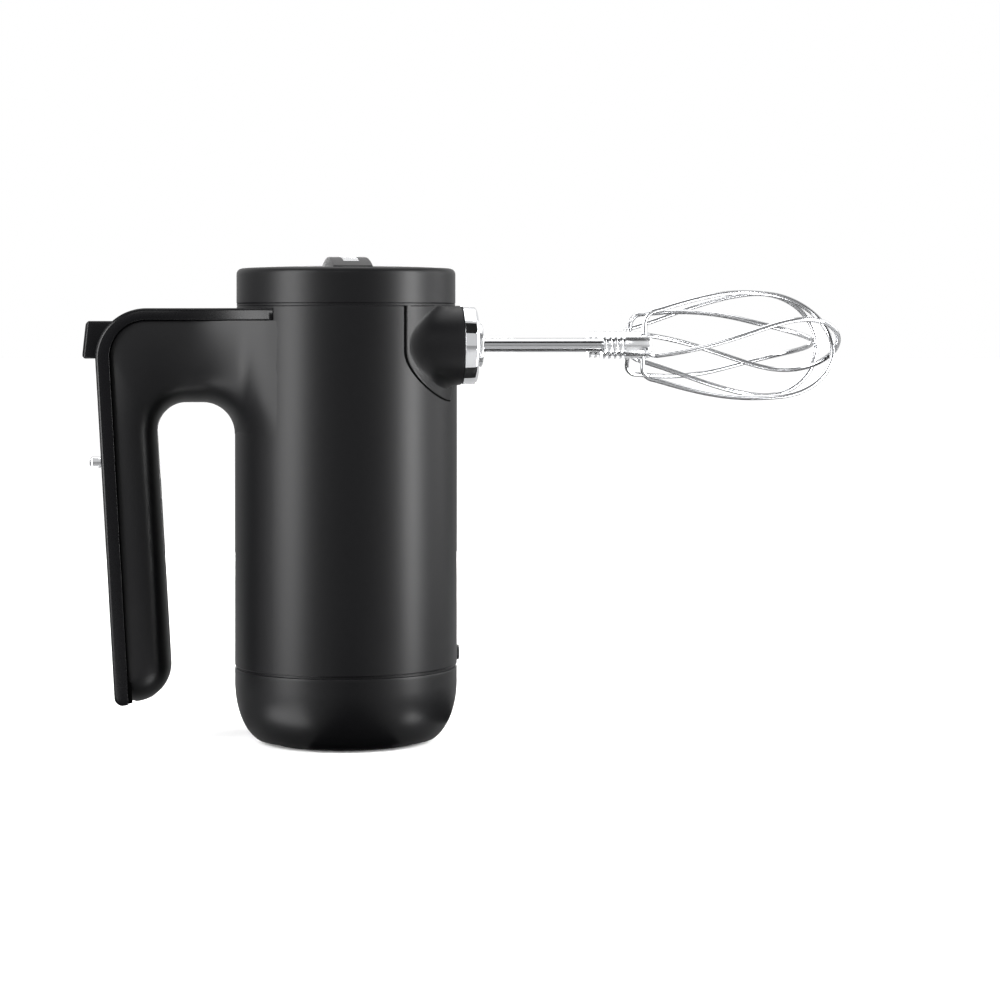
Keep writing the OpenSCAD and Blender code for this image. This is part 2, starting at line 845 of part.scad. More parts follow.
module spindle_left() { spindle(LEFT); }
module spindle_right() { spindle(RIGHT); }

module detent_ring(side) {
    color("#9a9aa0") ring_x(detent_x, spindle_r + 0.1, 0.5, side * drive_y, drive_z);
}

module detent_ring_left() { detent_ring(LEFT); }
module detent_ring_right() { detent_ring(RIGHT); }

module plunger(side) {
    color("#e0e0dc") {
        rod_x(plunger_x0, plunger_x0 + plunger_head, 4, side * drive_y, drive_z);
        rod_x(plunger_x0 + plunger_head - e, beater_x0 - 0.2, shaft_r, side * drive_y, drive_z);
    }
}

module plunger_left() { plunger(LEFT); }
module plunger_right() { plunger(RIGHT); }

// ---------- beaters ----------

module beater_shaft(side) {
    ear_r = 4.6;
    color("#d4d4d8") {
        rod_x(beater_x0, 118, shaft_r, side * drive_y, drive_z);
        block([44.5, side * drive_y - 0.7, drive_z - ear_r], [50.5, side * drive_y + 0.7, drive_z + ear_r]);
    }
}

module beater_hub(side) {
    color("#c4c5c8") difference() {
        union() {
            rod_x(hub_x0, hub_x1, hub_r - 0.9, side * drive_y, drive_z);
            for (i = [0:3]) rod_x(hub_x0 + 2.2 * i, hub_x0 + 2.2 * i + 1.4, hub_r, side * drive_y, drive_z);
            rod_x(hub_x0 + 8.8, hub_x1 - 1, hub_r, side * drive_y, drive_z);
        }
        rod_x(hub_x0 - 1, 118, shaft_r, side * drive_y, drive_z);
    }
}

// Half of a wire loop as [x, radius] points: out of the hub, a bend, the rise and the tip
function loop_half(tip) = concat(
    [[wire_exit_x, 4.2], [wire_exit_x, 7]],
    [for (a = [180:-15:105])
        [wire_exit_x + bend_r + bend_r * cos(a), neck_r - bend_r + bend_r * sin(a)]],
    [for (i = [1:11])
        let (t = i / 11)
        [wire_exit_x + bend_r + t * (bulge_x - wire_exit_x - bend_r), neck_r + (cage_r - neck_r) * sin(90 * t)]],
    [for (a = [10:10:90]) [bulge_x + tip * sin(a), cage_r * cos(a)]]);

// Whole loop: the second strand is the first one on the other side of the axis
function loop_path(tip) =
    let (h = loop_half(tip))
    concat(h, [for (i = [len(h) - 2:-1:0]) [h[i][0], -h[i][1]]]);

function twist_at(x) = cage_twist * max(0, min(1, (x - hub_x1) / 60));

module beater_loop(side, start_a, tip) {
    path = loop_path(tip);
    function dir(x) = let (a = start_a + twist_at(x)) [0, side * cos(a), sin(a)];
    color("#d8d8dc") swept_wire(
        [for (p = path) [p[0], side * drive_y, drive_z] + p[1] * dir(p[0])],
        [for (p = path) cross([1, 0, 0], dir(p[0]))], wire_r);
}

// The right beater mirrors the left one and is turned 45 degrees, so that they interleave
LEFT_A = -17;
RIGHT_A = LEFT_A + 45;

module beater_shaft_left() { beater_shaft(LEFT); }
module beater_shaft_right() { beater_shaft(RIGHT); }
module beater_hub_left() { beater_hub(LEFT); }
module beater_hub_right() { beater_hub(RIGHT); }
module beater_loop_a_left() { beater_loop(LEFT, LEFT_A, tip_outer); }
module beater_loop_b_left() { beater_loop(LEFT, LEFT_A + 90, tip_inner); }
module beater_loop_a_right() { beater_loop(RIGHT, RIGHT_A, tip_outer); }
module beater_loop_b_right() { beater_loop(RIGHT, RIGHT_A + 90, tip_inner); }

// ---------- power ----------

module at_cells() {
    for (a = [60, 180, 300]) rotate([0, 0, a]) translate([cell_ring_r, 0, 0]) children();
}

module battery_cells() {
    color("#2f6fb0") at_cells() {
        rod_z(cell_z, cell_z + cell_len - 1, cell_r);
        rod_z(cell_z + cell_len - 1 - e, cell_z + cell_len, 3.2);
    }
}

module battery_holder() {
    low_z = cup_foot_z + wall + 0.9;
    top_z = 76;
    color("#2b2b2b") difference() {
        union() {
            rod_z(low_z, 15, 30);
            rod_z(14, 67, 3);
            rod_z(66, top_z, 26);
        }
        at_cells() rod_z(cell_z, cell_z + cell_len + 0.1, cell_r + 0.15);
        rod_z(cell_z - 0.5, cell_z + e, 23);
        rod_z(cell_z + cell_len, top_z - 1.5, 23);
        for (a = [0, 120, 240]) rotate([0, 0, a]) rod_z(0, 14, 1.4, BASE_SCREW_R);
        // relief that keeps the tray clear of the cup's rounded corner
        difference() {
            rod_z(low_z - 1, 8, 35);
            rod_z(low_z - 2, 9, 28.5);
        }
    }
}

module cell_links() {
    color("#c9c9c0") {
        for (z = [cell_z - 0.4, cell_z + cell_len])
            translate([cell_ring_r / 2, 0, z + 0.15]) cube([7, 32, 0.3], center = true);
        for (z = [cell_z - 0.4, cell_z + cell_len])
            translate([-cell_ring_r, 0, z + 0.15]) cube([9, 7, 0.3], center = true);
    }
}

module charge_board() {
    color("#1f6b3a") {
        block([27, -13, 20], [28.6, 13, 62]);
        block([28.5, -9, 46], [33, -1, 54]);
        block([28.5, 3, 44], [31, 9, 58]);
    }
}

module charge_socket() {
    color("#0f0f0f") difference() {
        union() {
            block([28.6, -4.5, socket_z - 3.6], [41.2, 4.5, socket_z + 4.4]);
            rod_x(41.1, socket_face_x, 3, 0, socket_z);
        }
        rod_x(33, socket_face_x + 1, socket_bore_r, 0, socket_z);
    }
}

// Insulated lead through points that lie in a plane of constant Y
module lead(points, r = 1) {
    swept_wire(points, [for (p = points) [0, 1, 0]], r);
}

module wiring_loom() {
    color("#8a1f1f") {
        for (y = [-5, 5]) lead([[-25, y, 76.5], [-25, y, 138], [-32, y, 142.5], [-70, y, 142.5], [-76.5, y, 136.5]]);
        for (y = [-9, 9]) lead([[-15.5, y, 77], [-22, y, 77], [-22, y, 136], [-28, y, 140.5], [-32, y, 141]], 0.9);
    }
}

housing_left();
housing_right();
top_cap();
cap_bar();
badge_strip();
base_cup();
base_pad();
handle_strap();
collar_pod();
collar_bezel();
collar_boss();
eject_button();
eject_rod();
eject_plate();
eject_spring();
speed_slider();
slider_carriage();
slide_pot();
control_board();
motor_can();
motor_end_bell();
motor_magnets();
motor_brushes();
motor_bushes();
motor_shaft();
armature_stack();
armature_windings();
commutator();
drive_worm();
gear_frame();
spindle_bushes();
wheel_left();
wheel_right();
spindle_left();
spindle_right();
detent_ring_left();
detent_ring_right();
plunger_left();
plunger_right();
beater_shaft_left();
beater_hub_left();
beater_loop_a_left();
beater_loop_b_left();
beater_shaft_right();
beater_hub_right();
beater_loop_a_right();
beater_loop_b_right();
battery_cells();
battery_holder();
cell_links();
charge_board();
charge_socket();
wiring_loom();
housing_screws();
motor_screws();
base_screws();
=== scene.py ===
# %% [markdown]
# # A cordless hand mixer in satin black
# The mixer's mechanism comes from its CAD model, which is the fixed frame here. This lesson puts the
# visible mouldings, chrome and wire around that frame. Nearly every piece is a surface worked out with
# numpy on a grid of two parameters, so its shape is a short formula that you can change.

# %% Load the frame
import json

import bmesh
import bpy
import numpy as np
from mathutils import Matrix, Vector


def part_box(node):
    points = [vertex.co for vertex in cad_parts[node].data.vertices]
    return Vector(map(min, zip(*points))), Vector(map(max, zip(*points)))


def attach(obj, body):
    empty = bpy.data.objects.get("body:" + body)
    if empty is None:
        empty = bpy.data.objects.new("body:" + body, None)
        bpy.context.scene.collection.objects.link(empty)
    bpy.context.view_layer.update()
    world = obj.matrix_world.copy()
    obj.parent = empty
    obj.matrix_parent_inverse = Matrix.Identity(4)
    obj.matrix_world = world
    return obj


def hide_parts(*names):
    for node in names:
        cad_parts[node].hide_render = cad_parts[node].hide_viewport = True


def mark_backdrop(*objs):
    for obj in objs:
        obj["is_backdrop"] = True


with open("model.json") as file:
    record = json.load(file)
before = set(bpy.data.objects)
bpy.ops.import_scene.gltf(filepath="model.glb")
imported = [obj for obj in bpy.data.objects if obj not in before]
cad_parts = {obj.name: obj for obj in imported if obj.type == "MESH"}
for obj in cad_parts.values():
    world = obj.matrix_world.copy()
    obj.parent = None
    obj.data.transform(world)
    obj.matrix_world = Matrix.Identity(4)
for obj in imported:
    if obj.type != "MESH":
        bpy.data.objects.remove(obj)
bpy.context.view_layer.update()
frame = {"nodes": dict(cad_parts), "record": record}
MM = 0.001


# %% [markdown]
# ## Sizes from the frame
# A box around each CAD piece gives most of the sizes, in millimetres. Only what a box can't say, such
# as the height of a joint line or the radius of an arc, is a named value of its own.

# %% Sizes
def box_mm(node):
    """Lowest and highest corners of a CAD piece, in millimetres."""
    low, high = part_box(node)
    return np.array(low) / MM, np.array(high) / MM


BODY_R = box_mm("base_cup")[1][0]
CAP_TOP_Z = box_mm("top_cap")[1][2]
STRAP_TOP_Z = box_mm("handle_strap")[1][2]
SPINDLE_LOW, SPINDLE_HIGH = box_mm("spindle_left")
DRIVE_Z = (SPINDLE_LOW[2] + SPINDLE_HIGH[2]) / 2
DRIVE_Y = -(SPINDLE_LOW[1] + SPINDLE_HIGH[1]) / 2
BASE_SEAM_Z = 30.1          # joint line between base cup and body
CAP_SEAM_Z = 173.8          # joint line under the top cap
SEAM = 0.8                  # width of a joint line
WALL = 2.4                  # thickness of the round mouldings
SHELL_WALL, STRAP_WALL, LIP_WALL = 1.8, 2.2, 0.8
LEFT, RIGHT = -1, 1
print(f"body radius {BODY_R:.1f}, drive axes at y +-{DRIVE_Y:.1f}, z {DRIVE_Z:.1f}")

# %% [markdown]
# ## Camera
# The camera looks at the mixer's side from a little behind the handle, level, at about the height of
# the drive. A long lens keeps the round body nearly free of perspective. The picture is lowered with
# a little shift, as a view camera does, so that upright edges stay upright.

# %% Camera
CAMERA_PLACE = Vector((-0.0714, -1.0864, 0.1662))
CAMERA_TURN = np.radians(7.0)           # towards the beaters
FOCAL_OVER_WIDTH = 2.717
SHIFT_DOWN = -0.176

camera_data = bpy.data.cameras.new("camera")
camera_data.sensor_width = 36.0
camera_data.lens = FOCAL_OVER_WIDTH * camera_data.sensor_width
camera_data.shift_y = SHIFT_DOWN
camera_data.clip_end = 30.0
camera = bpy.data.objects.new("camera", camera_data)
camera.rotation_euler = (np.pi / 2, 0.0, -CAMERA_TURN)
camera.location = CAMERA_PLACE
bpy.context.scene.collection.objects.link(camera)
bpy.context.scene.camera = camera
print("lens", round(camera_data.lens, 1), "mm")


# %% [markdown]
# ## Helpers for surfaces
# A grid is an array of points, rows by columns. Its faces follow from the row and column numbers, so
# they are worked out as whole arrays too. `build` joins grids into one mesh, closes poles by merging
# points that coincide, and marks edges sharper than an angle, so that flat faces meet in a crisp line.

# %% Grid to mesh
def grid_quads(rows, cols, wrap=False, skip=None):
    """Corner numbers of each quad of a grid; wrap joins the last column to the first."""
    r = np.arange(rows - 1)[:, None]
    c = np.arange(cols if wrap else cols - 1)[None, :]
    d = (c + 1) % cols
    quads = np.stack([r * cols + c, r * cols + d, (r + 1) * cols + d, (r + 1) * cols + c], axis=-1)
    quads = quads.reshape(-1, 4)
    return quads if skip is None else quads[~skip.reshape(-1)]


def build(name, grids, sharp=32.0, caps=False, flip=False):
    """Mesh object from a list of (points, wrap, skip) grids in millimetres, placed in its vertices."""
    points, faces, start = [], [], 0
    for pts, wrap, skip in grids:
        rows, cols = pts.shape[:2]
        quads = grid_quads(rows, cols, wrap, skip) + start
        faces += (quads[:, ::-1] if flip else quads).tolist()
        if caps:
            first = np.arange(cols) + start
            last = first + (rows - 1) * cols
            faces += [first.tolist() if flip else first[::-1].tolist()]
            faces += [last[::-1].tolist() if flip else last.tolist()]
        points.append(pts.reshape(-1, 3))
        start += rows * cols
    mesh = bpy.data.meshes.new(name)
    mesh.from_pydata((np.concatenate(points) * MM).tolist(), [], faces)
    clean(mesh)
    mesh.shade_smooth()
    mesh.set_sharp_from_angle(angle=np.radians(sharp))
    obj = bpy.data.objects.new(name, mesh)
    bpy.context.scene.collection.objects.link(obj)
    return obj


def clean(mesh):
    """Merges points closer than a micron, drops faces without area, and turns closed shells outwards."""
    bm = bmesh.new()
    bm.from_mesh(mesh)
    bmesh.ops.remove_doubles(bm, verts=bm.verts, dist=1e-6)
    bmesh.ops.dissolve_degenerate(bm, dist=1e-7, edges=bm.edges)
    if all(e.is_manifold for e in bm.edges):
        bmesh.ops.recalc_face_normals(bm, faces=bm.faces)
    bm.to_mesh(mesh)
    bm.free()


def arc(cx, cy, radius, start, end, steps):
    """Points on an arc from one angle to another, in degrees."""
    a = np.radians(np.linspace(start, end, steps))
    return np.stack([cx + radius * np.cos(a), cy + radius * np.sin(a)], axis=-1)


def path(*parts):
    """One list of 2D points from arcs and single points."""
    return np.concatenate([np.atleast_2d(np.array(p, dtype=float)) for p in parts])


def turned(profile, start=0.0, end=360.0, steps=160, squeeze=None):
    """Surface of revolution: each (radius, height) of the profile goes round the Z axis."""
    a = np.radians(np.linspace(start, end, steps))[:, None]
    r = profile[None, :, 0] * (1.0 if squeeze is None else squeeze[:, None])
    z = np.broadcast_to(profile[None, :, 1], r.shape if squeeze is not None else (steps, len(profile)))
    r = np.broadcast_to(r, z.shape)
    return np.stack([r * np.cos(a), r * np.sin(a), z], axis=-1)


def along_x(points, y=0.0, z=0.0):
    """Turns a surface of revolution so that its axis lies along X, through (y, z)."""
    return np.stack([points[..., 2], points[..., 1] + y, -points[..., 0] + z], axis=-1)


# %% [markdown]
# ## Helpers for finishes
# Every colour is an sRGB hex value, which one function turns to the linear light that Blender works
# in. One more function adds a shader node with its settings and links. Patterns read Object
# coordinates, which are metres, so a grain of 0.4 mm needs a noise scale of 1 / 0.0004.

# %% Colour and node helpers
def linear(hex_code):
    """sRGB hex to linear RGBA."""
    c = np.array([int(hex_code[i:i + 2], 16) / 255 for i in (1, 3, 5)])
    c = np.where(c <= 0.04045, c / 12.92, ((c + 0.055) / 1.055) ** 2.4)
    return (*c.tolist(), 1.0)


def add(tree, kind, links=None, **settings):
    """Adds a node; settings are its sockets or properties, links its inputs from other sockets."""
    node = tree.nodes.new(kind)
    for key, value in settings.items():
        name = key.replace("_", " ")
        if name in node.inputs:
            node.inputs[name].default_value = value
        else:
            setattr(node, key, value)
    for key, socket in (links or {}).items():
        tree.links.new(socket, node.inputs[key])
    return node


def start_material(name):
    """Empty material with an output; returns the material, its tree and its Object coordinates."""
    material = bpy.data.materials.new(name)
    material.use_nodes = True
    tree = material.node_tree
    tree.nodes.clear()
    coords = add(tree, "ShaderNodeTexCoord").outputs["Object"]
    return material, tree, coords


def finish_material(material, tree, shader):
    """Joins the shader to the output."""
    output = tree.nodes.new("ShaderNodeOutputMaterial")
    tree.links.new(shader.outputs[0], output.inputs["Surface"])
    return material


def moulded(name, dark, light, rough, grain_mm, relief_mm, coat=0.0, specular=0.5):
    """Moulded plastic: colour drifts between two tones, a spark-eroded grain roughens the skin."""
    material, tree, coords = start_material(name)
    drift = add(tree, "ShaderNodeTexNoise", {"Vector": coords}, Scale=1 / 0.03, Detail=2.0)
    tone = add(tree, "ShaderNodeMix", {"Factor": drift.outputs["Fac"]}, data_type="RGBA")
    tone.inputs[6].default_value = linear(dark)
    tone.inputs[7].default_value = linear(light)
    grain = add(tree, "ShaderNodeTexNoise", {"Vector": coords}, Scale=1 / (grain_mm * MM), Detail=3.0)
    spread = add(tree, "ShaderNodeMapRange", {"Value": grain.outputs["Fac"]},
                 To_Min=rough[0], To_Max=rough[1])
    bump = add(tree, "ShaderNodeBump", {"Height": grain.outputs["Fac"]},
               Strength=1.0, Distance=relief_mm * MM)
    shader = add(tree, "ShaderNodeBsdfPrincipled",
                 {"Base Color": tone.outputs[2], "Roughness": spread.outputs["Result"],
                  "Normal": bump.outputs["Normal"]},
                 Specular_IOR_Level=specular, Coat_Weight=coat, Coat_Roughness=0.12)
    return finish_material(material, tree, shader)


def metal(name, tone, rough, grain_mm, relief_mm, stretch=(1.0, 1.0, 1.0)):
    """Metal: fine marks from how it was made change its roughness and its skin; stretch sets their run."""
    material, tree, coords = start_material(name)
    run = add(tree, "ShaderNodeMapping", {"Vector": coords}, Scale=stretch)
    marks = add(tree, "ShaderNodeTexNoise", {"Vector": run.outputs["Vector"]},
                Scale=1 / (grain_mm * MM), Detail=3.0)
    spread = add(tree, "ShaderNodeMapRange", {"Value": marks.outputs["Fac"]},
                 To_Min=rough[0], To_Max=rough[1])
    bump = add(tree, "ShaderNodeBump", {"Height": marks.outputs["Fac"]},
               Strength=1.0, Distance=relief_mm * MM)
    shader = add(tree, "ShaderNodeBsdfPrincipled",
                 {"Roughness": spread.outputs["Result"], "Normal": bump.outputs["Normal"]},
                 Base_Color=linear(tone), Metallic=1.0)
    return finish_material(material, tree, shader)


# %% [markdown]
# ## The finishes
# The body is ABS, moulded against a finely spark-eroded tool: satin, near black, with soft broad
# highlights. The strap and button are the same plastic from a smoother tool. The bezel is ABS plated
# with bright chrome. The beaters are drawn stainless wire, bright, with faint lines along the wire.

# %% Materials
SATIN_ABS = moulded("satin_abs", "#040405", "#060607", (0.36, 0.44), 0.45, 0.005, specular=0.12)
SMOOTH_ABS = moulded("smooth_abs", "#030304", "#050506", (0.24, 0.32), 0.6, 0.003, specular=0.10)
# Painted shade: joint_shadow is a flat black with no reflection at all. It is used for the sheets laid in and
# behind joints, so that they read as dark shadow lines.
JOINT_SHADOW = moulded("joint_shadow", "#040404", "#060606", (0.85, 0.95), 0.5, 0.003, specular=0.0)
PAD_RUBBER = moulded("pad_rubber", "#0c0c0c", "#141414", (0.65, 0.85), 0.8, 0.03)
SOCKET_ABS = moulded("socket_abs", "#0a0a0b", "#101011", (0.25, 0.35), 0.6, 0.003)
NYLON = moulded("natural_nylon", "#d8d4c6", "#e4e0d4", (0.40, 0.55), 1.2, 0.01)
GLASS_NYLON = moulded("glass_filled_nylon", "#2a2a2b", "#333334", (0.45, 0.6), 1.0, 0.015)
SOLDER_MASK = moulded("solder_mask", "#0d4526", "#12552f", (0.2, 0.35), 2.0, 0.01, coat=0.3)
CELL_SLEEVE = moulded("pvc_cell_sleeve", "#1d5a9a", "#2466a8", (0.25, 0.35), 3.0, 0.02)
LEAD_PVC = moulded("lead_pvc", "#8c1712", "#a01d16", (0.4, 0.55), 1.0, 0.01)
FERRITE = moulded("ferrite", "#2c2c2f", "#38383b", (0.55, 0.75), 0.5, 0.02)
CHROME = metal("bright_chrome_plate", "#e4e5e7", (0.03, 0.06), 4.0, 0.0015)
SATIN_SILVER = metal("satin_silver_plate", "#c9cacc", (0.22, 0.30), 0.3, 0.002, (1.0, 0.1, 1.0))
DRAWN_STEEL = metal("drawn_stainless_wire", "#b2b3b5", (0.10, 0.20), 0.25, 0.004, (0.06, 1.0, 1.0))
TURNED_STEEL = metal("turned_steel", "#e2e3e5", (0.16, 0.26), 0.2, 0.003, (1.0, 0.2, 0.2))
SINTERED_BRONZE = metal("sintered_bronze", "#a8814a", (0.40, 0.55), 0.25, 0.01)
ENAMELLED_COPPER = metal("enamelled_copper", "#b0602c", (0.25, 0.40), 0.45, 0.05, (1.0, 1.0, 6.0))
LAMINATED_STEEL = metal("laminated_steel", "#6c6c70", (0.40, 0.55), 0.5, 0.05, (0.05, 0.05, 1.0))

SLOT_MATERIAL = {
    "satin_black": SATIN_ABS, "gloss_black": SMOOTH_ABS, "black_rubber": PAD_RUBBER,
    "chrome": CHROME, "silver_trim": SATIN_SILVER, "stainless": DRAWN_STEEL, "steel": TURNED_STEEL,
    "nylon": NYLON, "bronze": SINTERED_BRONZE, "copper": ENAMELLED_COPPER, "ferrite": FERRITE,
    "laminations": LAMINATED_STEEL, "board": SOLDER_MASK, "cell_wrap": CELL_SLEEVE,
    "wire_red": LEAD_PVC,
}
NODE_MATERIAL = {"battery_holder": GLASS_NYLON, "charge_socket": SOCKET_ABS, "gear_frame": GLASS_NYLON}
for part in frame["record"]["subparts"]:
    obj = frame["nodes"][part["node"]]
    chosen = NODE_MATERIAL.get(part["node"], SLOT_MATERIAL[part["material_slot"]])
    obj.data.materials.clear()
    obj.data.materials.append(chosen)
print("finishes:", len(SLOT_MATERIAL) + len(NODE_MATERIAL))


def place(obj, body, material, slot, *nodes):
    """Gives a piece its finish and its body, and hides the CAD nodes it stands for. The slot is not used."""
    obj.data.materials.clear()
    obj.data.materials.append(material)
    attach(obj, body)
    if nodes:
        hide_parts(*nodes)
    print(f"{obj.name}: {len(obj.data.polygons)} faces")
    return obj


# %% [markdown]
# ## Body barrel
# The barrel is two half cylinders that meet on the centre plane. Each half is one closed profile,
# outside wall, rim and inside wall, carried round half a turn. Two details are radii that dip: a
# fine parting line where the halves meet, and a notch under the cap that the cover strap drops into.
# The round holes, for the charging socket and the screws, are cut afterwards with a Boolean, because
# a round hole doesn't follow the lines of the grid.

# %% Barrel halves
NOTCH_X = -30.3
NOTCH_Z = 167.3
NOTCH_DEEP = 0.7
INNER_R = BODY_R - WALL


def rim(radius, z, edge, up):
    """Rounded rim of a wall that ends at height z; up is 1 for an upper rim."""
    return arc(radius - edge, z - up * edge, edge, 0, 90 * up, 5)


def barrel_profile():
    """Closed (radius, height) loop of the body's wall, and how many of its points are outside."""
    low, high = BASE_SEAM_Z + SEAM / 2, CAP_SEAM_Z - SEAM / 2
    heights = np.sort(np.append(np.linspace(low + 0.6, high - 0.6, 12), [NOTCH_Z - 0.03, NOTCH_Z + 0.03]))
    outside = path(rim(BODY_R, low, 0.5, -1)[::-1], np.stack([np.full(14, BODY_R), heights], axis=-1),
                   rim(BODY_R, high, 0.5, 1))
    return path(outside, (INNER_R, high), (INNER_R, low)), len(outside)


def half_barrel(side):
    """The wall loop carried round half a turn, with its radius dipping at the parting and the notch."""
    profile, outside = barrel_profile()
    notch = np.degrees(np.arccos(NOTCH_X / BODY_R))
    a = np.concatenate([[0, 0.15, 0.4, 0.8], np.linspace(2, 178, 89), [notch - 0.04, notch + 0.04],
                        [179.2, 179.6, 179.85, 180]])
    a = np.sort(a)
    parting = 0.22 * np.clip(1 - np.minimum(a, 180 - a) / 0.4, 0, 1)
    cut = NOTCH_DEEP * (a[:, None] > notch) * (profile[None, :, 1] > NOTCH_Z)
    r = profile[None, :, 0] - (parting[:, None] + cut) * (np.arange(len(profile)) < outside)
    t = np.radians(a * side)[:, None]
    return np.stack([r * np.cos(t), r * np.sin(t), np.broadcast_to(profile[None, :, 1], r.shape)], axis=-1)


def rod(axis, centre, radius, start, end, sides=48):
    """Closed cylinder along X or Y, used as a cutter; centre gives its two other coordinates."""
    profile = path((0.0, start), (radius, start), (radius, end), (0.0, end))
    points = turned(profile, steps=sides + 1)
    if axis == "x":
        return along_x(points, centre[0], centre[1])
    return np.stack([points[..., 0] + centre[0], points[..., 2], points[..., 1] + centre[1]], axis=-1)


def bore(obj, cutters):
    """Cuts round holes: a Boolean with each cutter, whose result becomes the mesh."""
    cutter = build("cutter", [(points, False, None) for points in cutters])
    boolean = obj.modifiers.new("bores", "BOOLEAN")
    boolean.object = cutter
    boolean.operation = "DIFFERENCE"
    boolean.solver = "EXACT"
    boolean.use_self = True
    depsgraph = bpy.context.evaluated_depsgraph_get()
    mesh = bpy.data.meshes.new_from_object(obj.evaluated_get(depsgraph))
    obj.modifiers.clear()
    obj.data = mesh
    bpy.data.objects.remove(cutter)
    clean(mesh)
    mesh.set_sharp_from_angle(angle=np.radians(32))
    return obj


SOCKET_Z = (box_mm("charge_socket")[0][2] + box_mm("charge_socket")[1][2]) / 2 - 0.4
SCREW_WELL_R = 3.1
BODY_SCREWS = [(-33.0, 50.0), (-33.0, 118.0), (33.0, 74.0), (33.0, 118.0)]
GRIP_SCREWS = [(-80.0, 56.0), (-80.0, 147.6)]
SCREW_SEAT_Y = {"body": 20.5, "grip": 11.0}

for side, word in ((LEFT, "left"), (RIGHT, "right")):
    barrel = build(f"barrel_{word}", [(half_barrel(side), True, None)], caps=True)
    holes = [rod("x", (0.0, SOCKET_Z), 2.95, 38.0, 50.0)]
    if side == RIGHT:
        holes += [rod("y", centre, SCREW_WELL_R, 15.0, 50.0) for centre in BODY_SCREWS]
    place(bore(barrel, holes), "casing", SATIN_ABS, "satin_black", f"housing_{word}")

# %% [markdown]
# ## Handle shells
# Seen from the side, the handle is a band between two lines: an inner line round the finger gap and
# the joint line under the strap. Points on the two lines are paired, and each pair is a station. The
# surface gives a half width at every point of the band, and the two shells are that half width to
# the left and to the right. It is built from squares of widths, because the square of a round
# body's width is a plain parabola, so round body, soft inner edge and flat side blend without a step.

# %% Stations along the handle
LEAN = np.tan(np.radians(3.2))
CORNER = np.array([-79.2, 152.6])       # centre of the upper corner, outer line
CORNER_R = 19.8
SEAM_R = 14.2                           # the joint line's own corner
SEAM_CORNER_Z = 153.4
SHELL_TOP_Z = SEAM_CORNER_Z + SEAM_R
FOOT = np.array([-84.1, 31.7])          # centre of the grip's rounded lower end
FOOT_R = 14.8
FOOT_LOW_Z = FOOT[1] - FOOT_R
GAP = np.array([-63.6, 124.1])          # upper corner of the finger gap, by the grip
GAP_R = 11.0
ROOT = np.array([-57.0, 122.5])         # upper corner of the finger gap, by the body
ROOT_R = 12.6
GRIP_HALF_W = 16.0
FLARE_X = -76.0                         # where the handle starts to swell towards the body
FLARE_R = 71.7
STATIONS = {"root": 14, "bridge": 6, "corner": 22, "grip": 26, "foot": 16}


def outer_at(z, x_top, z_top):
    """X of a line that leans like the grip, at height z."""
    return x_top + LEAN * (z_top - z)


def line(a, b, steps):
    """Points from a towards b, without b itself."""
    t = np.linspace(0, 1, steps, endpoint=False)[:, None]
    return np.array(a) * (1 - t) + np.array(b) * t


def inner_line():
    """Edge of the finger gap: up the body, over the bridge, down the grip and round its end."""
    n = STATIONS
    return np.concatenate([
        line((-24.0, 96.0), (ROOT[0] + ROOT_R, ROOT[1]), 6),
        arc(*ROOT, ROOT_R, 0, 90, n["root"]),
        line((ROOT[0] - 1.0, ROOT[1] + ROOT_R), (GAP[0], GAP[1] + GAP_R), n["bridge"]),
        arc(*GAP, GAP_R, 90, 180, n["corner"]),
        line((GAP[0] - GAP_R + LEAN * 2, GAP[1] - 2), (FOOT[0] + FOOT_R, FOOT[1]), n["grip"]),
        arc(*FOOT, FOOT_R, 0, -88, n["foot"])])


def seam_line():
    """Joint line under the strap: along the bridge, round the corner and down to the end."""
    n = STATIONS
    level = line((-19.0, SHELL_TOP_Z), (CORNER[0], SHELL_TOP_Z), 6 + n["root"] + n["bridge"])
    bend = arc(CORNER[0], SEAM_CORNER_Z, SEAM_R, 90, 180, n["corner"])
    top = (CORNER[0] - SEAM_R + LEAN * 2, SEAM_CORNER_Z - 2)
    foot = (outer_at(27.0, CORNER[0] - SEAM_R, SEAM_CORNER_Z), 27.0)
    down = line(top, foot, n["grip"])
    end = line(foot, (foot[0] + 0.6, FOOT_LOW_Z + 0.1), n["foot"])
    return np.concatenate([level, bend, down, end])


def smooth_step(t):
    """Rises from 0 to 1 with a level start and end."""
    t = np.clip(t, 0, 1)
    return t * t * (3 - 2 * t)


def body_square(x):
    """Square of the round body's half width at x, or 0 outside it."""
    return np.maximum(BODY_R ** 2 - x ** 2, 0.0)


def side_width(x):
    """Half width of the flat side: constant, then an arc that meets the body as a tangent."""
    s = np.maximum(x - FLARE_X, 0.0)
    flare = GRIP_HALF_W + FLARE_R - np.sqrt(np.maximum(FLARE_R ** 2 - s ** 2, 0.0))
    return np.where(x > -29.0, np.sqrt(body_square(x)), flare)


def depth_in(x, z):
    """Distance from the edge of the finger gap into the handle's band."""
    root = np.hypot(x - ROOT[0], z - ROOT[1]) - ROOT_R
    corner = np.hypot(x - GAP[0], z - GAP[1]) - GAP_R
    foot = FOOT_R - np.hypot(x - FOOT[0], z - FOOT[1])
    grip = (outer_at(z, GAP[0] - GAP_R, GAP[1]) - x) / np.sqrt(1 + LEAN ** 2)
    upper = np.where(x > ROOT[0], root, np.where(x > GAP[0], z - ROOT[1] - ROOT_R, corner))
    below = np.where(x > ROOT[0], x + BODY_R, np.where(z < FOOT[1], foot, grip))
    return np.maximum(np.where(z > np.where(x > ROOT[0], ROOT[1], GAP[1]), upper, below), 0.0)


EDGE_SLOPE = 2 * GRIP_HALF_W ** 2 / 13.0    # an edge about 13 mm round on the 32 mm wide handle


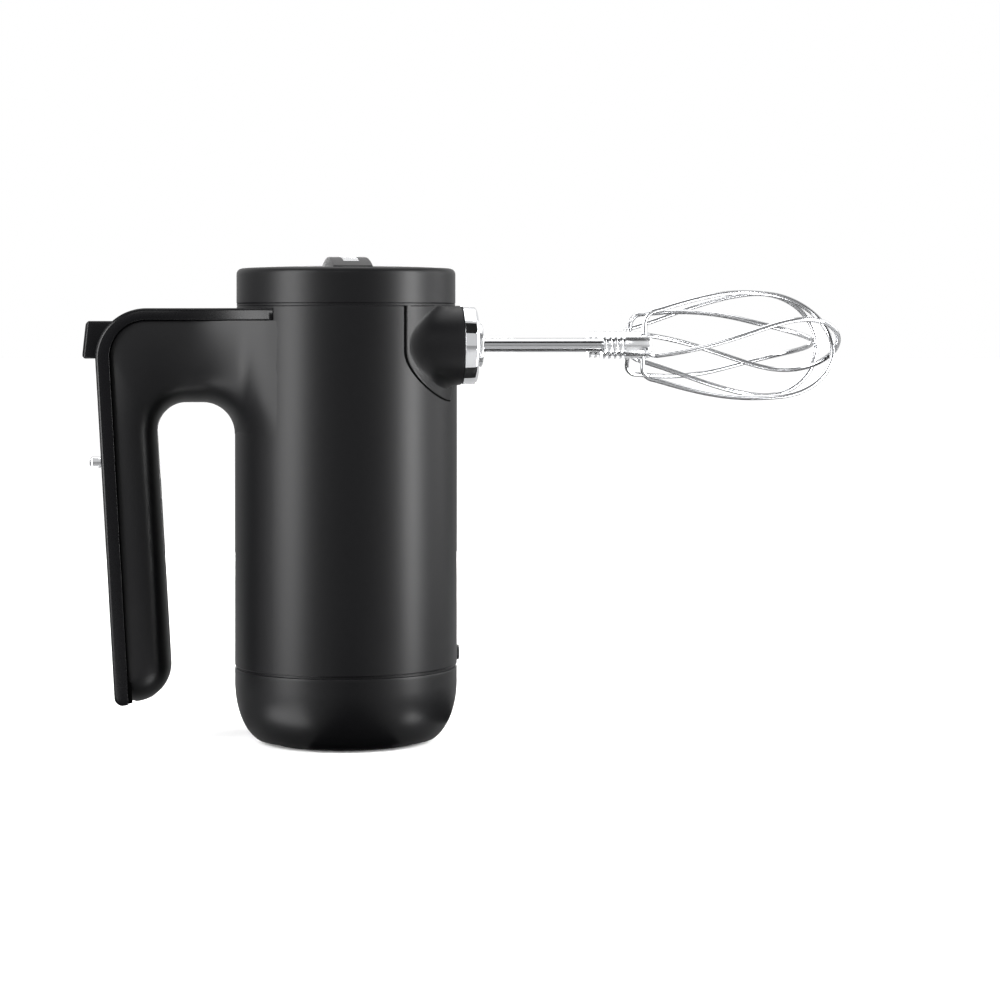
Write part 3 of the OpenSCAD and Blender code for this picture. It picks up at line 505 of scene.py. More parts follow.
def shell_width(x, z):
    """Half width of the handle. Its square starts at the edge as slope times depth, which is a round
    edge, and levels off at the flat side. Over the body it is counted from the body's own square."""
    depth = depth_in(x, z)
    angle = np.degrees(np.arctan2(z - ROOT[1], x - ROOT[0]))
    angle = np.where(x > ROOT[0], np.clip(angle, 0, 90), 90.0)
    t = smooth_step(angle / 90)
    slope = 2 * BODY_R * (1 - t) + EDGE_SLOPE * t
    edge = slope * depth - (1 - t) * depth ** 2
    base = body_square(x) * smooth_step((x + BODY_R) / 9)
    a = np.maximum(edge - base, 1e-6)
    b = np.maximum(side_width(x) ** 2 - base, 1e-6)
    joined = (a ** -3 + b ** -3) ** (-1 / 3)
    return np.sqrt(np.maximum(base + joined, 0.0))


# %% Handle halves
def shell_half(side):
    """Grid of a handle half: stations by steps from the inner line to the joint line."""
    inner, seam = inner_line(), seam_line()
    across = seam - inner
    depth = np.linalg.norm(across, axis=1)[:, None]
    share = np.linspace(0, 1, 30) ** 2
    d = np.concatenate([share[None, :-1] * (depth - 0.9), depth - [[0.9, 0.35, 0.1, 0.02]]], axis=1)
    q = inner[:, None, :] + across[:, None, :] * (d / depth)[..., None]
    x, z = q[..., 0], q[..., 1]
    y = shell_width(x, z)
    lift = np.where(x > -BODY_R, y - np.sqrt(body_square(x)), 1.0)
    y = y - 0.06 * (1 - smooth_step(lift / 0.15))
    grip = 1 - smooth_step((x + 62) / 22)
    near_seam = np.clip(1 - (depth - d) / 24.0, 0, 1)
    y = y - grip * 2.0 * near_seam ** 2
    rounding = np.array([0.0, 0.0, 0.02, 0.06])
    y[:, -4:] -= rounding
    return np.stack([x, side * np.maximum(y, 0.0), z], axis=-1)


def thicken(obj, thickness):
    """Gives an open skin its wall, inwards."""
    solid = obj.modifiers.new("wall", "SOLIDIFY")
    solid.thickness = thickness * MM
    solid.offset = -1.0
    return obj


for side, word in ((LEFT, "left"), (RIGHT, "right")):
    shell = build(f"handle_shell_{word}", [(shell_half(side), False, None)], flip=side > 0)
    thicken(shell, SHELL_WALL)
    if side == RIGHT:
        bore(shell, [rod("y", centre, SCREW_WELL_R, 8.0, 30.0) for centre in GRIP_SCREWS])
    place(shell, "casing", SATIN_ABS, "satin_black", f"housing_{word}")


# %% [markdown]
# ## Screw wells
# Six screws hold the halves together. Their heads sit at the bottom of round wells on the right
# side. A well is a tube from just under the skin to its seat, and the screws themselves are the
# CAD model's, so a well needs only its wall and floor.

# %% Screw wells
def well(centre, seat, mouth):
    """Closed ring: outside wall, mouth, bore and floor, turned about the screw's axis. No point goes
    closer than 0.6 mm to the round body's outside."""
    r = SCREW_WELL_R
    profile = path((1.6, seat - 1.0), (r + 1.0, seat - 1.0), (r + 1.0, mouth), (r, mouth), (r, seat),
                   (1.6, seat), (1.6, seat - 1.0))
    points = turned(profile, steps=49)
    x = points[..., 0] + centre[0]
    skin = np.where(np.abs(x) < BODY_R - 2, np.sqrt(body_square(x)) - 0.6, mouth)
    return np.stack([x, np.minimum(points[..., 2], skin), points[..., 1] + centre[1]], axis=-1)


wells = [well(c, SCREW_SEAT_Y["body"], 28.6) for c in BODY_SCREWS]
wells += [well(c, SCREW_SEAT_Y["grip"], 14.6) for c in GRIP_SCREWS]
screw_wells = build("screw_wells", [(points, False, None) for points in wells])
place(screw_wells, "casing", SATIN_ABS, "satin_black", "housing_right")

# %% [markdown]
# ## Cover strap
# The strap is a channel that lies over the handle from the body to the foot. It uses the same
# stations: its section climbs from the joint line up the side, turns over a narrow bevel that catches
# the light, and crosses to the other side. Rows and columns of the grid fall exactly on the edges of
# the two openings, so leaving out those faces cuts clean holes for the button and the slider.

# %% Strap
BEVEL = 0.9                 # width of the lit bevel along the edge, seen from the side
BEVEL_IN = 0.55             # how far it leans in over that width
BUTTON_LOW, BUTTON_HIGH = box_mm("eject_button")
SLIDER_LOW, SLIDER_HIGH = box_mm("speed_slider")
SLIDER_TRAVEL = 24.0
BUTTON_GAP = 0.3
BUTTON_HALF_W = BUTTON_HIGH[1] + BUTTON_GAP
SLOT_HALF_W = 2.6
button_top = BUTTON_HIGH[2] + BUTTON_GAP
button_low = BUTTON_LOW[2] - BUTTON_GAP
slot_low = SLIDER_LOW[2] - 0.2
slot_high = SLIDER_HIGH[2] + SLIDER_TRAVEL
STRAP_END_R = 3.5
STRAP_END_X = -30.7
STRAP_GAP = 0.15                        # fine joint between strap and shells


def strap_lines():
    """Outer and joint lines of the strap, station by station, with rows on the openings' edges."""
    button_a = 180 - np.degrees(np.arcsin((button_top - CORNER[1]) / CORNER_R))
    angles = np.concatenate([np.linspace(90, button_a, 12), np.linspace(button_a, 180, 14)[1:]])
    a = np.radians(angles)
    outer_bend = CORNER + CORNER_R * np.stack([np.cos(a), np.sin(a)], axis=-1)
    inner_centre = np.array([CORNER[0], SEAM_CORNER_Z])
    inner_bend = inner_centre + (SEAM_R + STRAP_GAP) * np.stack([np.cos(a), np.sin(a)], axis=-1)
    z = np.concatenate([[button_low], np.linspace(150, slot_high + 2, 6), [slot_high],
                        np.linspace(slot_high - 4, slot_low + 4, 6), [slot_low],
                        np.linspace(slot_low - 6, 27, 14)])
    outer_down = np.stack([outer_at(z, CORNER[0] - CORNER_R, CORNER[1]), z], axis=-1)
    inner_down = np.stack([outer_at(z, CORNER[0] - SEAM_R - STRAP_GAP, SEAM_CORNER_Z), z], axis=-1)
    end_x = outer_at(FOOT_LOW_Z + STRAP_END_R, CORNER[0] - CORNER_R, CORNER[1])
    outer_end = arc(end_x + STRAP_END_R, FOOT_LOW_Z + STRAP_END_R, STRAP_END_R, 180, 262, 8)
    inner_foot_x = outer_at(FOOT_LOW_Z, CORNER[0] - SEAM_R - STRAP_GAP, SEAM_CORNER_Z)
    inner_end = line((inner_down[-1][0] + 0.2, 22.0), (inner_foot_x, FOOT_LOW_Z), 8)
    count = 26
    outer_top = line((STRAP_END_X, STRAP_TOP_Z), (CORNER[0], STRAP_TOP_Z), count)
    inner_top = line((STRAP_END_X, SHELL_TOP_Z + STRAP_GAP), (CORNER[0], SHELL_TOP_Z + STRAP_GAP), count)
    return (np.concatenate([outer_top, outer_bend, outer_down, outer_end]),
            np.concatenate([inner_top, inner_bend, inner_down, inner_end]))


def strap_grid():
    """Stations by section points, from one side's joint line over the top to the other side's."""
    outer, inner = strap_lines()
    out_dir = outer - inner
    depth = np.linalg.norm(out_dir, axis=1)
    unit = out_dir / depth[:, None]
    climb = np.array([0.03, 0.3, 0.7])
    side_d = np.concatenate([np.broadcast_to(climb, (len(depth), 3)),
                             depth[:, None] - np.array([BEVEL + 0.12, BEVEL, 0.12, 0.0, 0.0])], axis=1)
    side_in = np.array([0.2, 0.05, 0.0, 0.0, 0.05, BEVEL_IN, BEVEL_IN + 0.2, BEVEL_IN + 0.7])
    w = GRIP_HALF_W
    top_y = np.array([11.5, BUTTON_HALF_W, 5.4, SLOT_HALF_W, 0.0])
    share = np.concatenate([np.ones(len(side_in)), top_y / w])
    d = np.concatenate([side_d, np.broadcast_to(depth[:, None], (len(depth), len(top_y)))], axis=1)
    inset = np.concatenate([side_in, np.zeros(len(top_y))])
    q = inner[:, None, :] + unit[:, None, :] * d[..., None]
    y = (side_width(q[..., 0]) - inset) * share
    half = np.stack([q[..., 0], -y, q[..., 1]], axis=-1)
    other = half[:, ::-1][:, 1:] * np.array([1.0, -1.0, 1.0])
    return np.concatenate([half, other], axis=1), outer[:, 1]


def strap_openings(grid, z):
    """True for each face that lies in the button's or the slider's opening."""
    mid_z = (z[1:] + z[:-1])[:, None] / 2
    mid_y = np.abs(grid[:-1, 1:, 1] + grid[:-1, :-1, 1]) / 2
    depth_x = grid[:-1, :-1, 0]
    bent = np.arange(len(z) - 1)[:, None] >= 26 + 11
    button = bent & (mid_z < button_top) & (mid_z > button_low) & (mid_y < BUTTON_HALF_W)
    slot = (mid_z < slot_high) & (mid_z > slot_low) & (mid_y < SLOT_HALF_W) & bent
    under_cap = (np.hypot(depth_x, mid_y) < BODY_R - 4) & (depth_x > -46)
    return ((button | slot) & (depth_x < -80)) | under_cap


strap_points, strap_z = strap_grid()
strap = build("cover_strap", [(strap_points, False, strap_openings(strap_points, strap_z))])
thicken(strap, STRAP_WALL)
place(strap, "casing", SMOOTH_ABS, "gloss_black", "handle_strap")

# %% [markdown]
# ## Lip behind the joint
# Strap and shell overlap behind their joint with a lip, as moulded halves do. The lip is painted shade:
# flat black without reflection, so from outside it only shows as the dark of the joint line. A narrow band
# carried along the same stations is enough.

# %% Lip behind the joint
def lip_grid(side):
    """Narrow band behind the joint between strap and shell, a little inside both: the overlapping lip
    that keeps light and flour out, finished in painted shade."""
    outer, inner = strap_lines()
    unit = (outer - inner) / np.linalg.norm(outer - inner, axis=1)[:, None]
    reach = np.array([-1.5, 0.0, 1.5])
    q = inner[:, None, :] + unit[:, None, :] * reach[None, :, None]
    y = side_width(q[..., 0]) - 2.7
    return np.stack([q[..., 0], side * y, q[..., 1]], axis=-1)


for side, word in ((LEFT, "left"), (RIGHT, "right")):
    lip = build(f"joint_shade_lip_{word}", [(lip_grid(side), False, None)], flip=side > 0)
    # Painted shade: the lip is flat black without reflection, so the joint reads as a dark line.
    place(thicken(lip, LIP_WALL), "casing", JOINT_SHADOW, "gloss_black", "handle_strap")

# %% [markdown]
# ## Top cap
# The cap is one closed profile turned round the axis: a spigot that drops into the body, the side,
# a small rounded edge and a very shallow dome. The dark line under it is the real gap above the body.

# %% Cap
CAP_R = 43.7
CAP_EDGE_R = 2.4
DOME_R = 900.0
SPIGOT_R = BODY_R - WALL - 0.2
STEP_R = BODY_R - 0.7       # step in the joint, so that no light comes through it


def dome_z(r):
    """Height of the cap's shallow dome at radius r."""
    return CAP_TOP_Z - DOME_R + np.sqrt(DOME_R ** 2 - r ** 2)


def cap_profile():
    """Outside from the axis to the lower edge, then the spigot and the inside back to the axis."""
    low = CAP_SEAM_Z + SEAM / 2
    edge_z = dome_z(CAP_R - CAP_EDGE_R) - CAP_EDGE_R
    r = np.linspace(0, CAP_R - CAP_EDGE_R, 14)
    top = np.stack([r, dome_z(r)], axis=-1)
    return path(top, arc(CAP_R - CAP_EDGE_R, edge_z, CAP_EDGE_R, 84, 0, 12),
                np.stack([np.full(5, CAP_R), np.linspace(edge_z - 1, low + 0.6, 5)], axis=-1),
                arc(CAP_R - 0.5, low + 0.5, 0.5, 0, -90, 5),
                (STEP_R, low), (STEP_R, low - SEAM + 0.03), (SPIGOT_R, low - SEAM + 0.03),
                (SPIGOT_R, low - 3.6), (SPIGOT_R - 2, low - 3.6),
                (SPIGOT_R - 2, edge_z), (SPIGOT_R - 6, CAP_TOP_Z - 3.4), (0.0, CAP_TOP_Z - 2.6))


cap = build("cap_moulding", [(turned(cap_profile()), False, None)])
place(cap, "casing", SATIN_ABS, "satin_black", "top_cap")

# %% [markdown]
# ## Arched bar and its strip
# The bar crosses the cap on a wide arch. Its section is a low trapezoid with soft upper edges, and
# the section rides along the arch. A plain satin strip lies in the middle, without any lettering.

# %% Bar and strip
ARCH_R = 200.0
ARCH_TOP_Z = box_mm("cap_bar")[1][2]
BAR_HALF_Y = 40.6


def on_arch(x, drop, y):
    """Point of the bar: x across, drop below the arch, at distance y along it."""
    angle = np.arcsin(y / ARCH_R)
    r = ARCH_R - drop
    return np.stack([x + 0 * angle, r * np.sin(angle), ARCH_TOP_Z - ARCH_R + r * np.cos(angle)], axis=-1)


def bar_grid():
    """Trapezoid section with rounded upper corners, carried along the arch."""
    corner = arc(7.0, 0.85, 0.85, 0, 90, 6)
    upper = np.stack([corner[:, 0], 0.85 * 2 - corner[:, 1]], axis=-1)
    right = path((9.5, 6.0), (9.2, 4.8), (8.4, 2.2), upper)
    section = path(right, right[::-1] * np.array([-1, 1]))
    middle = np.linspace(-BAR_HALF_Y + 0.5, BAR_HALF_Y - 0.5, 60)
    y = np.concatenate([[-BAR_HALF_Y, -BAR_HALF_Y + 0.15], middle, [BAR_HALF_Y - 0.15, BAR_HALF_Y]])
    drop = section[None, :, 1] + 0.2 + np.array([0.5, 0.15] + [0] * 60 + [0.15, 0.5])[:, None]
    return on_arch(section[None, :, 0], drop, y[:, None])


def strip_grid():
    """Thin strip with rounded edges, a little proud of the bar."""
    section = path((-3.0, 0.5), (-3.0, 0.14), (-2.85, 0.06), (0, 0.04), (2.85, 0.06), (3.0, 0.14), (3.0, 0.5))
    y = np.linspace(-31.0, 31.0, 60)
    return on_arch(section[None, :, 0], section[None, :, 1], y[:, None])


bar = build("arched_bar", [(bar_grid(), True, None)], caps=True)
place(bar, "casing", SATIN_ABS, "satin_black", "cap_bar")
strip = build("plain_strip", [(strip_grid(), True, None)], caps=True)
place(strip, "casing", SATIN_SILVER, "silver_trim", "badge_strip")

# %% [markdown]
# ## Base cup and pad
# The cup turns from a level underside into the side on a quarter of an ellipse, taller than wide.
# The rubber pad under it is a flat disc with a small rounded edge, and the mixer stands on it.

# %% Base
CUP_FOOT_Z = box_mm("base_pad")[1][2]
PAD_R = box_mm("base_pad")[1][0]
CUP_A, CUP_B = 13.0, 24.0


def cup_outline(inset=0.0):
    """Quarter ellipse from the underside to the side, moved inwards by inset."""
    a = np.linspace(np.arcsin((CUP_B - CUP_FOOT_Z) / CUP_B), 0, 26)
    r = BODY_R - CUP_A + (CUP_A - inset) * np.cos(a)
    z = CUP_B - (CUP_B - inset) * np.sin(a)
    return np.stack([r, z], axis=-1)


def cup_profile():
    """Underside, corner, side, spigot into the body, and the inside back to the axis."""
    top = BASE_SEAM_Z - SEAM / 2
    r = np.linspace(0, cup_outline()[0, 0], 6)[:-1]
    return path(np.stack([r, np.full(5, CUP_FOOT_Z)], axis=-1), cup_outline(), (BODY_R, top - 1.4),
                arc(BODY_R - 0.5, top - 0.5, 0.5, 0, 90, 5), (STEP_R, top),
                (STEP_R, top + SEAM - 0.03), (SPIGOT_R, top + SEAM - 0.03), (SPIGOT_R, 35.4),
                (SPIGOT_R - 2, 35.4), (SPIGOT_R - 2, 24.0), cup_outline(WALL)[::-1], (0.0, CUP_FOOT_Z + WALL))


def pad_profile():
    """Disc with a rounded lower edge."""
    return path((0, 0), (PAD_R - 1.2, 0), arc(PAD_R - 1.0, 1.0, 1.0, -80, 0, 6),
                (PAD_R, CUP_FOOT_Z), (0, CUP_FOOT_Z))


cup = build("base_moulding", [(turned(cup_profile()), False, None)])
place(cup, "casing", SATIN_ABS, "satin_black", "base_cup")
pad = build("pad", [(turned(pad_profile(), steps=120), False, None)])
place(pad, "casing", PAD_RUBBER, "black_rubber", "base_pad")

# %% [markdown]
# ## Collar
# The collar's outline is a stadium: two half circles joined by straight sides. The black pod grows
# out of a thin flange on the body with a soft fillet. In front of it come the chrome bezel and the
# raised boss that the two spindles turn in.

# %% Stadium helpers
POD_LOW, POD_HIGH = box_mm("collar_pod")
BEZEL_LOW, BEZEL_HIGH = box_mm("collar_bezel")
BOSS_LOW, BOSS_HIGH = box_mm("collar_boss")
POD_FACE_X = POD_HIGH[0] - 1.2
BEZEL_R = (BEZEL_HIGH[2] - BEZEL_LOW[2]) / 2
BEZEL_SPAN = BEZEL_HIGH[1] - BEZEL_R
BOSS_R = (BOSS_HIGH[2] - BOSS_LOW[2]) / 2
BOSS_SPAN = BOSS_HIGH[1] - BOSS_R


def stadium(profile, steps=96):
    """Nested stadiums from rows of (x, end radius, half length of the straight sides): each outline
    is a circle whose two halves are moved apart along Y."""
    profile = np.array(profile, dtype=float)
    a = np.radians(np.concatenate([np.linspace(-90, 90, steps // 2), np.linspace(90, 270, steps // 2)]))
    half = np.where(np.arange(steps) < steps // 2, 1.0, -1.0)
    x, radius, span = (profile[:, i, None] for i in range(3))
    y = radius * np.cos(a) + half * span
    z = radius * np.sin(a) + DRIVE_Z
    return np.stack([np.broadcast_to(x, y.shape), y, z], axis=-1)


# %% Pod, bezel and boss
ROOT_GROW = 1.9                         # the pod's hollow root: this much wider on the body,
ROOT_RISE = 5.5                         # and this long towards the front
CAP_JOINT_Z = CAP_SEAM_Z - SEAM / 2


def on_body(points, proud=0.0):
    """Moves points along X onto the round body, or a little proud of it."""
    x = np.sqrt(np.maximum(BODY_R ** 2 - points[..., 1] ** 2, 0.0)) + proud
    return np.stack([x, points[..., 1], np.minimum(points[..., 2], CAP_JOINT_Z)], axis=-1)


def pod_grid():
    """Barrel of the pod: a hollow fillet from the body, the straight barrel and its front edge."""
    a = np.radians(np.linspace(0, 90, 10))
    grow = ROOT_GROW * (1 - np.sin(a))
    rise = ROOT_RISE * (1 - np.cos(a))
    root = on_body(stadium([(0.0, BEZEL_R + 0.1 + g, BEZEL_SPAN) for g in grow]), -0.1)
    root[..., 0] = np.minimum(root[..., 0] + rise[:, None], POD_FACE_X - 0.8)
    r = BEZEL_R + 0.1
    front = stadium([(POD_FACE_X - 0.5, r, BEZEL_SPAN), (POD_FACE_X - 0.12, r - 0.12, BEZEL_SPAN),
                     (POD_FACE_X, r - 0.5, BEZEL_SPAN), (POD_FACE_X, r - 4.0, BEZEL_SPAN)])
    return np.concatenate([root, front])


def flange_outline():
    """Outline (y, z) of the pod's plate: straight sides, round lower corners, open to the cap."""
    half_w, low, corner = POD_HIGH[1], POD_LOW[2], 20.0
    left = arc(corner - half_w, low + corner, corner, 180, 270, 24)
    right = arc(half_w - corner, low + corner, corner, 270, 360, 24)
    z = np.linspace(CAP_JOINT_Z, low + corner, 5)[:-1]
    return path(np.stack([np.full(4, -half_w), z], axis=-1), left, right,
                np.stack([np.full(4, half_w), z[::-1]], axis=-1))


def flange_grid():
    """The plate: its outline shrunk in rings towards the middle, laid on the body, a little proud."""
    outline = flange_outline()
    centre = np.array([0.0, CAP_JOINT_Z + 2.0])
    scale = np.array([0.4, 0.7, 0.985, 0.994, 1.0])[:, None, None]
    proud = np.array([0.18, 0.18, 0.18, 0.12, -0.2])[:, None]
    flat = centre + (outline - centre) * scale
    points = np.concatenate([0 * flat[..., :1], flat], axis=-1)
    return on_body(points, proud)


def joint_shadow_line():
    """Narrow dark ribbon laid round the plate, a little proud of the body: painted shadow for the joint
    between plate and body.
    """
    outline = flange_outline()
    centre = np.array([0.0, CAP_JOINT_Z + 2.0])
    scale = np.array([0.992, 1.010])[:, None, None]
    flat = centre + (outline - centre) * scale
    points = np.concatenate([0 * flat[..., :1], flat], axis=-1)
    return on_body(points, 0.05)


pod = build("collar_barrel", [(pod_grid(), True, None), (flange_grid()[:, ::-1], False, None)])
place(pod, "casing", SATIN_ABS, "satin_black", "collar_pod")
# Painted shadow: the dark ribbon on the body's surface draws the joint round the plate.
joint = build("collar_joint_shadow", [(joint_shadow_line(), False, None)], flip=True)
place(joint, "casing", JOINT_SHADOW, "satin_black", "collar_pod")


def bezel_profile():
    """Side, lit bevel, face and inner edge of the chrome ring."""
    x0, x1 = POD_FACE_X + 0.15, BEZEL_HIGH[0] - 0.7
    side = [(x0, BEZEL_R - 3), (x0, BEZEL_R - 0.3), (x0 + 0.3, BEZEL_R), (x1 - 1.3, BEZEL_R)]
    bevel = [(x1 - 1.0, BEZEL_R - 0.08), (x1 - 0.25, BEZEL_R - 0.8), (x1, BEZEL_R - 1.3)]
    face = [(x1, BEZEL_R - 2.0), (x1 - 0.5, BEZEL_R - 3.4), (x1 - 0.8, BOSS_R + 0.4), (x1 - 0.8, BOSS_R - 1)]
    rows = side + bevel + face
    blend_in = np.linspace(0, 1, 4)
    spans = [BEZEL_SPAN] * 7 + [BEZEL_SPAN + (BOSS_SPAN - BEZEL_SPAN) * t for t in blend_in]
    return [(x, r, s) for (x, r), s in zip(rows, spans)]


bezel = build("chrome_bezel", [(stadium(bezel_profile()), True, None)], caps=True)
place(bezel, "casing", CHROME, "chrome", "collar_bezel")


def boss_profile():
    """Raised boss with a rounded front edge and a level front face."""
    x0, x1 = BEZEL_HIGH[0] - 1.9, BOSS_HIGH[0]
    rows = [(x0, BOSS_R), (x1 - 0.6, BOSS_R), (x1 - 0.18, BOSS_R - 0.18), (x1, BOSS_R - 0.6),
            (x1, BOSS_R - 3.0), (x1, 0.02)]
    return [(x, r, BOSS_SPAN) for x, r in rows]


boss = build("spindle_boss", [(stadium(boss_profile()), True, None)], caps=True)
place(boss, "casing", SATIN_SILVER, "silver_trim", "collar_boss")

# %% [markdown]
# ## Button and thumb tab
# Both are short bars with bevelled edges that catch the light. Each is a stack of rounded
# rectangles, and every layer is a little smaller near the outer face.

# %% Eject button and speed tab
def soft_rectangle(half_y, half_z, radius, steps=6):
    """Rounded rectangle in (y, z), centred."""
    corners = [(half_y - radius, half_z - radius, 0), (radius - half_y, half_z - radius, 90),
               (radius - half_y, radius - half_z, 180), (half_y - radius, radius - half_z, 270)]
    return np.concatenate([arc(cy, cz, radius, a, a + 90, steps) for cy, cz, a in corners])


def bevelled_bar(layers, slant=0.0, mid_z=0.0):
    """Stack of rounded rectangles (x, half width, half height, radius); slant leans the face."""
    rows = []
    for x, half_y, half_z, radius, share in layers:
        pts = soft_rectangle(half_y, half_z, radius)
        rows.append(np.column_stack([x + slant * share * pts[:, 1], pts[:, 0], pts[:, 1] + mid_z]))
    return np.array(rows)


def button_grid():
    """Button: level sides, bevelled edge and a face that leans outwards at its lower end."""
    w, h = BUTTON_HIGH[1], (BUTTON_HIGH[2] - BUTTON_LOW[2]) / 2
    face_x = BUTTON_LOW[0] + 0.8
    slant = 1.6 / (2 * h)
    layers = [(BUTTON_HIGH[0], 0.4, 0.4, 0.2, 0), (BUTTON_HIGH[0], w - 0.1, h - 0.1, 0.8, 0),
              (face_x + 4.0, w - 0.1, h - 0.1, 0.8, 0), (face_x + 1.2, w - 0.1, h - 0.1, 0.8, 1.0),
              (face_x + 0.9, w - 0.2, h - 0.2, 0.9, 1.0), (face_x + 0.1, w - 1.0, h - 1.0, 1.2, 1.0),
              (face_x, w - 1.5, h - 1.5, 1.4, 1.0), (face_x + 0.1, w - 4.5, h - 4.5, 1.6, 1.0),
              (face_x + 0.15, 0.4, 0.4, 0.2, 1.0)]
    return bevelled_bar(layers, slant, (BUTTON_LOW[2] + BUTTON_HIGH[2]) / 2)


button = build("button_cap", [(button_grid(), True, None)], caps=True)
place(button, "eject", SMOOTH_ABS, "gloss_black", "eject_button")


def tab_grid():
    """Thumb tab: a low bar across the strap with a bevelled front, and its stem."""
    x0, x1 = SLIDER_LOW[0], SLIDER_HIGH[0]
    h = 2.05
    layers = [(x1 - 0.2, 2.0, 1.6, 0.5, 0), (x0 + 4.4, 2.0, 1.6, 0.5, 0), (x0 + 4.35, 7.9, h, 0.6, 0),
              (x0 + 1.3, 7.9, h, 0.6, 0), (x0 + 0.9, 7.75, h - 0.15, 0.6, 0),
              (x0 + 0.25, 7.2, h - 0.75, 0.5, 0), (x0 + 0.05, 6.8, h - 1.1, 0.4, 0),
              (x0 + 0.05, 0.4, 0.3, 0.1, 0)]
    return bevelled_bar(layers, 0.0, (SLIDER_LOW[2] + SLIDER_HIGH[2]) / 2)


tab = build("thumb_tab", [(tab_grid(), True, None)], caps=True)
place(tab, "slider", CHROME, "chrome", "speed_slider")

# %% [markdown]
# ## Beaters
# Each beater has a shaft, a ribbed steel hub and two loops of wire that cross at the tip. A loop
# is one path: out of the hub, a tight bend, a long rise, a round end, and back down the other side
# of the axis. The whole path is twisted about the axis as it runs forward, and a round section is
# carried along it. The right beater is the left one's mirror image, turned by an eighth of a turn.

# %% Wire paths
CAGE_R = 22.4
WIRE_R = 1.0
TWIST = 50.0
HUB_LOW, HUB_HIGH = box_mm("beater_hub_left")
HUB_R = (HUB_HIGH[2] - HUB_LOW[2]) / 2
WIRE_EXIT_X = HUB_HIGH[0] - 2.5
BULGE_X = 171.0
BEND_R = 5.0
NECK_R = 14.4
FIRST_ANGLE = {LEFT: -17.0, RIGHT: 28.0}
TIP = {"a": 25.5, "b": 23.3}


def loop_half(tip):
    """(x, radius) from the hub to the tip: stub, bend, rise on a quarter sine, end on an ellipse."""
    start_x = WIRE_EXIT_X + BEND_R
    t = np.linspace(0, 1, 40)[1:]
    rise_r = NECK_R + (CAGE_R - NECK_R) * np.sin(t * np.pi / 2)
    rise = np.stack([start_x + t * (BULGE_X - start_x), rise_r], axis=-1)
    a = np.radians(np.linspace(3, 90, 30))
    end = np.stack([BULGE_X + tip * np.sin(a), CAGE_R * np.cos(a)], axis=-1)
    return path((WIRE_EXIT_X, 3.2), (WIRE_EXIT_X, 5.5), (WIRE_EXIT_X, 8.0),
                arc(start_x, NECK_R - BEND_R, BEND_R, 180, 100, 12), rise, end)


def loop_points(side, angle, tip):
    """Path of a whole loop in space, and a direction roughly across the wire at each point."""
    half = loop_half(tip)
    back = half[-2::-1] * np.array([1, -1])
    xr = np.concatenate([half, back])
    t = np.clip((xr[:, 0] - HUB_HIGH[0]) / 60, 0, 1.3)
    ease = np.where(t > 0.7, (t - 0.7) ** 2 / 1.2, 0.0)
    turn = np.radians(angle + TWIST * (t - ease))
    outward = np.stack([0 * turn, side * np.cos(turn), np.sin(turn)], axis=-1)
    points = np.column_stack([xr[:, 0], np.full(len(xr), side * DRIVE_Y), np.full(len(xr), DRIVE_Z)])
    across = np.cross(np.array([1.0, 0.0, 0.0]), outward)
    return points + outward * xr[:, 1:2], across


def wire(points, across, radius, sides=14):
    """Round section carried along a path; across keeps the section from spinning."""
    tangent = np.gradient(points, axis=0)
    tangent /= np.linalg.norm(tangent, axis=1)[:, None]
    n1 = across - (across * tangent).sum(1)[:, None] * tangent
    n1 /= np.linalg.norm(n1, axis=1)[:, None]
    n2 = np.cross(tangent, n1)
    a = np.linspace(0, 2 * np.pi, sides, endpoint=False)
    ring = np.cos(a)[None, :, None] * n1[:, None, :] + np.sin(a)[None, :, None] * n2[:, None, :]
    return points[:, None, :] + radius * ring


# %% Shafts, hubs and loops
SHAFT_LOW, SHAFT_HIGH = box_mm("beater_shaft_left")
SHAFT_R = 2.7


def shaft_profile():
    """Plain rod with a chamfered inner end."""
    x0, x1 = SHAFT_LOW[0], SHAFT_HIGH[0]
    return path((0, x0), (SHAFT_R - 0.7, x0), (SHAFT_R, x0 + 0.8), (SHAFT_R, x1 / 2), (SHAFT_R, x1), (0, x1))


def hub_profile():
    """Four ribs, then a plain barrel with softened ends."""
    x0, x1 = HUB_LOW[0], HUB_HIGH[0]
    ribs = [path((HUB_R - 0.9, x), (HUB_R - 0.1, x + 0.12), (HUB_R, x + 0.35), (HUB_R, x + 1.05),
                 (HUB_R - 0.1, x + 1.28), (HUB_R - 0.9, x + 1.4)) for x in x0 + 2.2 * np.arange(4)]
    return path((0, x0), (SHAFT_R, x0), *ribs, (HUB_R - 0.9, x0 + 8.7), (HUB_R - 0.15, x0 + 8.85),
                (HUB_R, x0 + 9.2), (HUB_R, x1 - 1.2), (HUB_R - 0.35, x1 - 0.35), (HUB_R - 1.2, x1), (0, x1))


for side, word in ((LEFT, "left"), (RIGHT, "right")):
    body = f"beater_{word}"
    points = along_x(turned(shaft_profile(), steps=49), side * DRIVE_Y, DRIVE_Z)
    shaft = build(f"shaft_{word}", [(points, False, None)])
    place(shaft, body, DRAWN_STEEL, "stainless", f"beater_shaft_{word}")
    points = along_x(turned(hub_profile(), steps=65), side * DRIVE_Y, DRIVE_Z)
    hub = build(f"hub_{word}", [(points, False, None)])
    place(hub, body, TURNED_STEEL, "stainless", f"beater_hub_{word}")
    for letter, extra in (("a", 0.0), ("b", 90.0)):
        points, across = loop_points(side, FIRST_ANGLE[side] + extra, TIP[letter])
        loop = build(f"loop_{letter}_{word}", [(wire(points, across, WIRE_R), True, None)], caps=True)
        place(loop, body, DRAWN_STEEL, "stainless", f"beater_loop_{letter}_{word}")

